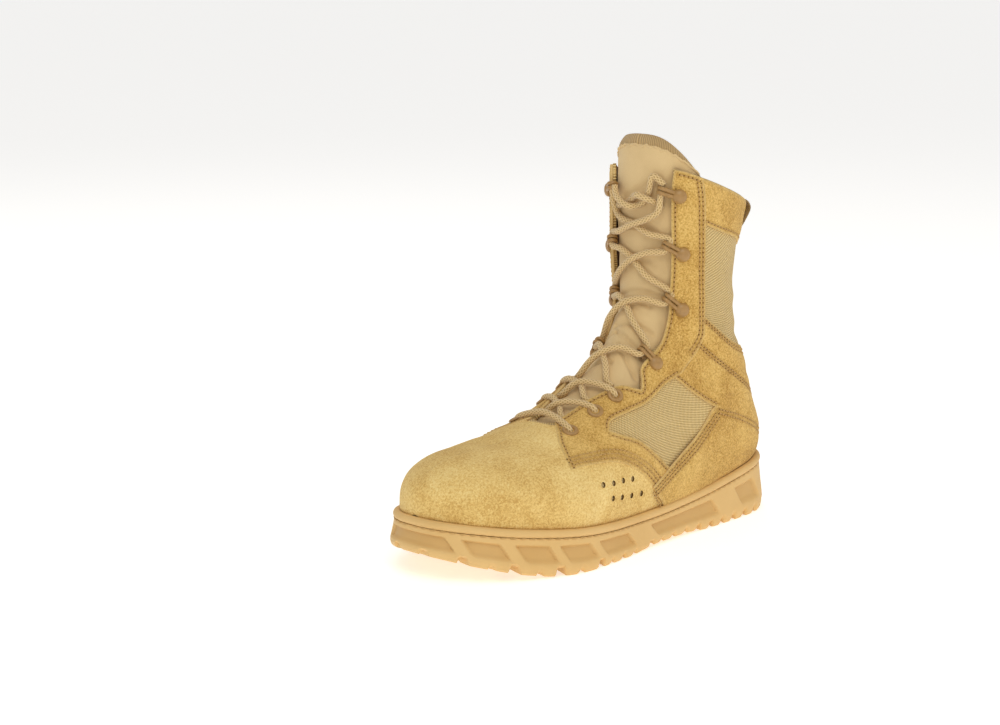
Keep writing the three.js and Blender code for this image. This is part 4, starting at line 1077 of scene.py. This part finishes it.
line_t = np.linspace(-0.93, 0.93, 160)
pucker = tongue_face(COLLAR + BIND_FROM + 0.035 * np.sin(line_t * 41) + 0.02 * np.sin(line_t * 97), line_t,
                     -TONGUE_SINK + 0.45 + 0.25 * np.sin(line_t * 67) - 2.4 * np.exp(-(1 - np.abs(line_t)) / 0.05))
points, faces, uv_points = cord_mesh([smooth(pucker, 0.7)], 0.75, 8)
cording = piece("tongue_edge_cording", points, faces, [tongue_cloth], uv=np.array(uv_points) * (0.005, 1))

# ---- Pull loop ------------------------------------------------------------------------------
# Tan webbing, 22 mm wide, sewn to the back of the collar, with a plain yellow tape inside.
webbing = woven("nylon_webbing", "A98B58", "77592F", 0.0018, 0.0003, 0.75)
yellow = woven("yellow_lining_tape", "E3BE1C", "B8930F", 0.0012, 0.0001, 0.8)
low, high = on_last(11.0, math.pi), on_last(11.85, math.pi)
spine = smooth([(low[0] + 0.9, low[2] - 1), (low[0] + 6, low[2] + 6), (low[0] + 18, low[2] + 18),
                (low[0] + 23, low[2] + 26),
                (high[0] + 12, high[2] + 5.5), (high[0] + 5, high[2] + 3.5), (high[0] + 0.9, high[2] + 1)], 0.8)
along = unit(np.gradient(spine, axis=0))
outward = np.stack([along[:, 1], -along[:, 0]], -1)
half = np.linspace(-1, 1, 27)
bow = 0.25 * (1 - half ** 2)
edge_dip = 0.35 * np.exp(-(1 - np.abs(half)) / 0.06)


def strap_grid(height):
    flat = spine[:, None, :] + outward[:, None, :] * (height + bow - math.copysign(1, height) * edge_dip)[None, :, None]
    return np.stack([flat[..., 0], np.broadcast_to(half * 11, flat.shape[:2]) + LAST_ZERO[1], flat[..., 1]], -1)


strap_uv = np.stack(np.broadcast_arrays(np.arange(len(spine))[:, None] * 0.0008, half[None, :] * 0.011), -1)
strap = two_faced("webbing_pull_loop", strap_grid(0.8), strap_grid(-0.8), [webbing, webbing], strap_uv)
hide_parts("pull_loop")
taped = slice(4, len(spine) - 4), slice(4, -4)
tape = two_faced("yellow_loop_tape", strap_grid(-0.72)[taped], strap_grid(-1.05)[taped], [yellow, yellow],
                 strap_uv[taped])

# ---- Sole: outline, welt, outsole ---------------------------------------------------------------
# Moulded tan rubber. A rounded welt 5 mm thick runs round the upper above a stitched groove; the wall
# below leans outward, with slanted recessed panels between pillars; the tread has chunky lugs.
rubber, tree, shader = finish("moulded_tan_rubber", 0.58, Specular_IOR_Level=0.35)
place = add(tree, "ShaderNodeTexCoord").outputs["Object"]
grime = add(tree, "ShaderNodeTexNoise", {"Vector": place, "Scale": 28, "Detail": 5, "Roughness": 0.6})
pore = add(tree, "ShaderNodeTexNoise", {"Vector": place, "Scale": 800, "Detail": 3})
recess_shade = add(tree, "ShaderNodeAttribute", attribute_name="recess_shade").outputs["Fac"]
tone = add(tree, "ShaderNodeMix", {"Factor": grime.outputs[0], "A": rgb("D8B06E"), "B": rgb("EAC687")},
           data_type="RGBA")
# Painted shade: the recessed wall panels are mixed towards a darker tan by their depth.
recess_shaded = add(tree, "ShaderNodeMix",
           {"Factor": add(tree, "ShaderNodeMath", {0: recess_shade, 1: 0.35}, operation="MULTIPLY").outputs[0],
                                   "A": tone.outputs["Result"], "B": rgb("BE9150")}, data_type="RGBA")
tree.links.new(recess_shaded.outputs["Result"], shader.inputs["Base Color"])
tree.links.new(add(tree, "ShaderNodeBump",
                   {"Strength": 0.25, "Distance": 0.0003, "Height": pore.outputs[0]}).outputs[0],
               shader.inputs["Normal"])
TREAD = ((-156, 20), (-130, 11), (-107, 4.5), (-90, 1.2), (-72, 0), (-15, 0), (10, 1.8), (45, 1.8), (66, 0), (135, 0),
         (156, 3.5))
WELT_THICK = 5.0
# Recessed panels of the wall, as mm round the outline from the toe: start and end.
RECESSES = ((-15, 25.5), (34, 57), (64.5, 87.5), (93.5, 117), (124, 157), (182, 252), (277, 300))
# Lug notches at the tread's edge: mm round the outline, half width, depth, and how far they run in.
NOTCHES = ((10, 2.5, 3.0, 16), (32, 2.6, 4.2, 22), (48, 1.6, 2.0, 9), (61, 2.6, 4.6, 24), (77, 1.6, 2.2, 9),
           (90.5, 2.8, 4.8, 24),
           (105, 1.6, 2.2, 9), (121.5, 2.8, 4.6, 22), (133, 1.8, 2.4, 10), (145, 2.2, 2.6, 12), (158, 2.0, 2.0, 8),
           (178, 3.0, 3.0, 12),
           (190, 1.8, 1.8, 8), (203, 2.0, 2.6, 12), (217, 2.0, 2.8, 14), (231, 2.2, 3.2, 16), (245, 2.2, 3.4, 18),
           (258, 2.2, 3.4, 18),
           (271, 2.2, 3.4, 18), (284, 2.2, 3.4, 18), (297, 2.2, 3.4, 16), (311, 2.2, 3.4, 14), (325, 2.0, 3.0, 12))


def end_section(inside, outside):
    """Last section, going outward, that still reaches down to the seam."""
    for _ in range(40):
        mid = (inside + outside) / 2
        if float(above_feather(mid, math.pi)) < 0:
            inside = mid
        else:
            outside = mid
    return inside


toe_end, heel_end = end_section(-0.6, -1.0), end_section(6.0, 7.0)
stations = np.concatenate([toe_end + 0.6 * np.linspace(0.002, 1, 240) ** 2,
                           np.linspace(toe_end + 0.6, heel_end - 1, 500)[1:-1],
                           heel_end - np.linspace(1, 0.002, 240) ** 2])
lateral = on_last(stations, -feather_angle(stations))
run = np.concatenate([[0], np.cumsum(np.linalg.norm(np.diff(lateral[:, :2], axis=0), axis=1))])
STEP = 1.15
even = np.arange(STEP / 2, run[-1], STEP)
stations = np.interp(even, run, stations)
lateral, medial = on_last(stations, -feather_angle(stations)), on_last(stations, feather_angle(stations))
outline = np.concatenate([lateral, medial[::-1]])
outline_run = np.concatenate([even, even[::-1]])
tangent = unit(np.roll(outline, -1, 0)[:, :2] - np.roll(outline, 1, 0)[:, :2])
tangent = unit(tangent + np.roll(tangent, 1, 0) + np.roll(tangent, -1, 0))
outline_out = np.stack([tangent[:, 1], -tangent[:, 0]], -1)
seam_z = feather_height(outline[:, 0] - LAST_ZERO[0])
tread_z = np.interp(outline[:, 0] - LAST_ZERO[0], [p[0] for p in TREAD], [p[1] for p in TREAD])
tread_z = np.convolve(np.concatenate([tread_z[-6:], tread_z, tread_z[:6]]), np.ones(9) / 9, "same")[6:-6]
tread_z = np.maximum(tread_z, 0)


def ring_at(offset, z):
    return np.column_stack([outline[:, :2] + outline_out * np.broadcast_to(offset, len(outline))[:, None], z])


def ring_mesh(name, rings, material, marks=None):
    """A closed band from rings of points that go round its section."""
    rows, count = len(rings), len(rings[0])
    faces = [(i * count + j, i * count + (j + 1) % count, (i + 1) % rows * count + (j + 1) % count,
              (i + 1) % rows * count + j)
             for i in range(rows) for j in range(count)]
    made = piece(name, np.concatenate(rings), faces, [material], marks=marks)
    turn_outward(made)
    return made


WELT_PROFILE = ((-2.9, 0.0), (0.0, -0.05), (3.6, 0.0), (4.4, 0.25), (5.0, 0.9), (5.35, 1.9), (5.3, 2.9), (4.95, 3.9),
                (4.3, 4.6),
                (3.4, 4.95), (2.2, 5.05), (1.5, 4.8), (0.9, 4.4), (-2.9, 4.6))
welt_wave = 0.12 * np.sin(outline_run * 0.11)
welt = ring_mesh("rounded_rubber_welt",
                 [ring_at(o + (welt_wave if o > 3 else 0), seam_z - WELT_THICK + h) for o, h in WELT_PROFILE], rubber)
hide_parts("welt")
sewn("welt_stitching", [
    (np.append(outline[i, :2] + outline_out[i] * 4.55, seam_z[i] - WELT_THICK - 0.25), np.append(tangent[i], 0.0),
     np.append(outline_out[i], 0.0))
    for i in range(2, len(outline) - 2, 5)], 4.2, 0.42, thread)


def smooth_step(x):
    x = np.clip(x, 0, 1)
    return x * x * (3 - 2 * x)


def recess_depth(s, v):
    """How deep the wall is recessed, 0 to 1, s mm round the outline and at share v of the way down."""
    deep = np.zeros(np.broadcast(s, v).shape)
    for start, end in RECESSES:
        lean = 15.0 * (v - 0.45)
        across = smooth_step((s - start - lean) / 1.8) * smooth_step((end + lean - s) / 1.8)
        tall = smooth_step((v - 0.16) / 0.09) * smooth_step((0.70 - v) / 0.16)
        deep = np.maximum(deep, across * tall)
    return deep


def lug_cut(s, reach):
    """Depth of the notches at s mm round the outline and reach mm in from the edge."""
    cut = np.zeros(np.broadcast(s, reach).shape)
    for at, half_width, depth, inward in NOTCHES:
        slanted = at + 0.35 * reach
        across = smooth_step((half_width + 0.9 - np.abs(s - slanted)) / 1.3)
        cut = np.maximum(cut, depth * across * smooth_step((inward - reach) / 2.0))
    return cut


edge_cut = lug_cut(outline_run, np.zeros(len(outline)))
WALL_TABLE = ((0.0, 4.2), (0.04, 4.75), (0.3, 5.6), (0.62, 6.9), (0.8, 7.3), (0.93, 6.6), (1.0, 5.2))
wall_top = seam_z - WELT_THICK - 0.3
# Each ring's recess depth is kept as well, to place the painted shade of the recessed panels.
rings, recess_shades = [], []
INNER_WALL = -3.7
inner_top = ring_at(INNER_WALL, wall_top)
for v in np.concatenate([np.linspace(0, 0.1, 5)[:-1], np.linspace(0.1, 1.0, 26)]):
    bottom = tread_z + edge_cut * smooth_step((v - 0.55) / 0.4)
    z = wall_top + (bottom - wall_top) * v
    offset = np.interp(v, [p[0] for p in WALL_TABLE], [p[1] for p in WALL_TABLE])
    deep = recess_depth(outline_run, np.full(len(outline), v))
    rings.append(ring_at(offset - 2.3 * deep - 0.12 * edge_cut * smooth_step((v - 0.8) / 0.2), z))
    recess_shades.append(deep)
half_count = len(stations)
across_share = np.concatenate([np.linspace(0, 0.3, 34), np.linspace(0.3, 0.7, 14)[1:-1], np.linspace(0.7, 1, 34)])
bottom_ring = rings[-1]
left, right = bottom_ring[:half_count], bottom_ring[half_count:][::-1]
bottom_rows = []
for t in across_share[1:-1]:
    line = left * (1 - t) + right * t
    width = np.linalg.norm(left - right, axis=1)
    reach = np.minimum(t, 1 - t) * width
    plane = tread_z[:half_count]
    middle_groove = 1.6 * smooth_step((reach - 20) / 2) * smooth_step(1 - np.abs(((even + 8) % 21) - 10.5) / 3.2)
    line[:, 2] = plane + np.maximum(lug_cut(even, reach), middle_groove * (reach > 18))
    bottom_rows.append(line)
wall_rings = [ring_at(INNER_WALL, seam_z - 0.3), inner_top] + rings
count = len(outline)
verts = np.concatenate(wall_rings)
recess_shade_marks = np.concatenate([np.zeros(2 * count)] + recess_shades)
faces = [(i * count + j, i * count + (j + 1) % count, (i + 1) * count + (j + 1) % count, (i + 1) * count + j)
         for i in range(len(wall_rings) - 1) for j in range(count)]
base = (len(wall_rings) - 1) * count
start = len(verts)
verts = np.concatenate([verts] + bottom_rows)
along_half = range(half_count)
columns = [[base + i for i in along_half]]
columns += [[start + k * half_count + i for i in along_half] for k in range(len(bottom_rows))]
columns += [[base + 2 * half_count - 1 - i for i in along_half]]
for a, b in zip(columns, columns[1:]):
    faces += [(a[i], a[i + 1], b[i + 1], b[i]) for i in range(half_count - 1)]
faces.append([c[0] for c in columns])
faces.append([c[-1] for c in columns][::-1])
faces += [(i, i + 1, count - 2 - i, count - 1 - i) for i in range(half_count - 1)]
sole = piece("lugged_rubber_outsole", verts, faces, [rubber],
             marks={"recess_shade": np.concatenate([recess_shade_marks, np.zeros(len(verts) - len(recess_shade_marks))])})
turn_outward(sole)
bpy.ops.object.select_all(action="DESELECT")
sole.select_set(True)
bpy.context.view_layer.objects.active = sole
bpy.ops.object.shade_smooth_by_angle(angle=math.radians(38))
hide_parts("outsole")

# ---- Insole ---------------------------------------------------------------------------------
# A foam footbed faced with brushed cloth, slightly dished under heel and ball.
footbed = woven("brushed_footbed_cloth", "8A7258", "5F4C38", 0.0012, 0.0002, 0.95)
inner_left, inner_right = ring_at(-3.5, seam_z)[:half_count], ring_at(-3.5, seam_z)[half_count:][::-1]
grid = np.stack([inner_left * (1 - t) + inner_right * t for t in np.linspace(0, 1, 44)], 1)
share = np.linspace(0, 1, 44)[None, :]
upper_face, lower_face = grid.copy(), grid.copy()
upper_face[..., 2] += 4.4 - 1.6 * np.sin(math.pi * share) ** 1.5
lower_face[..., 2] += 0.15
insole = two_faced("dished_footbed", upper_face, lower_face, [footbed, footbed], grid[..., :2] * 0.001)
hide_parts("insole")
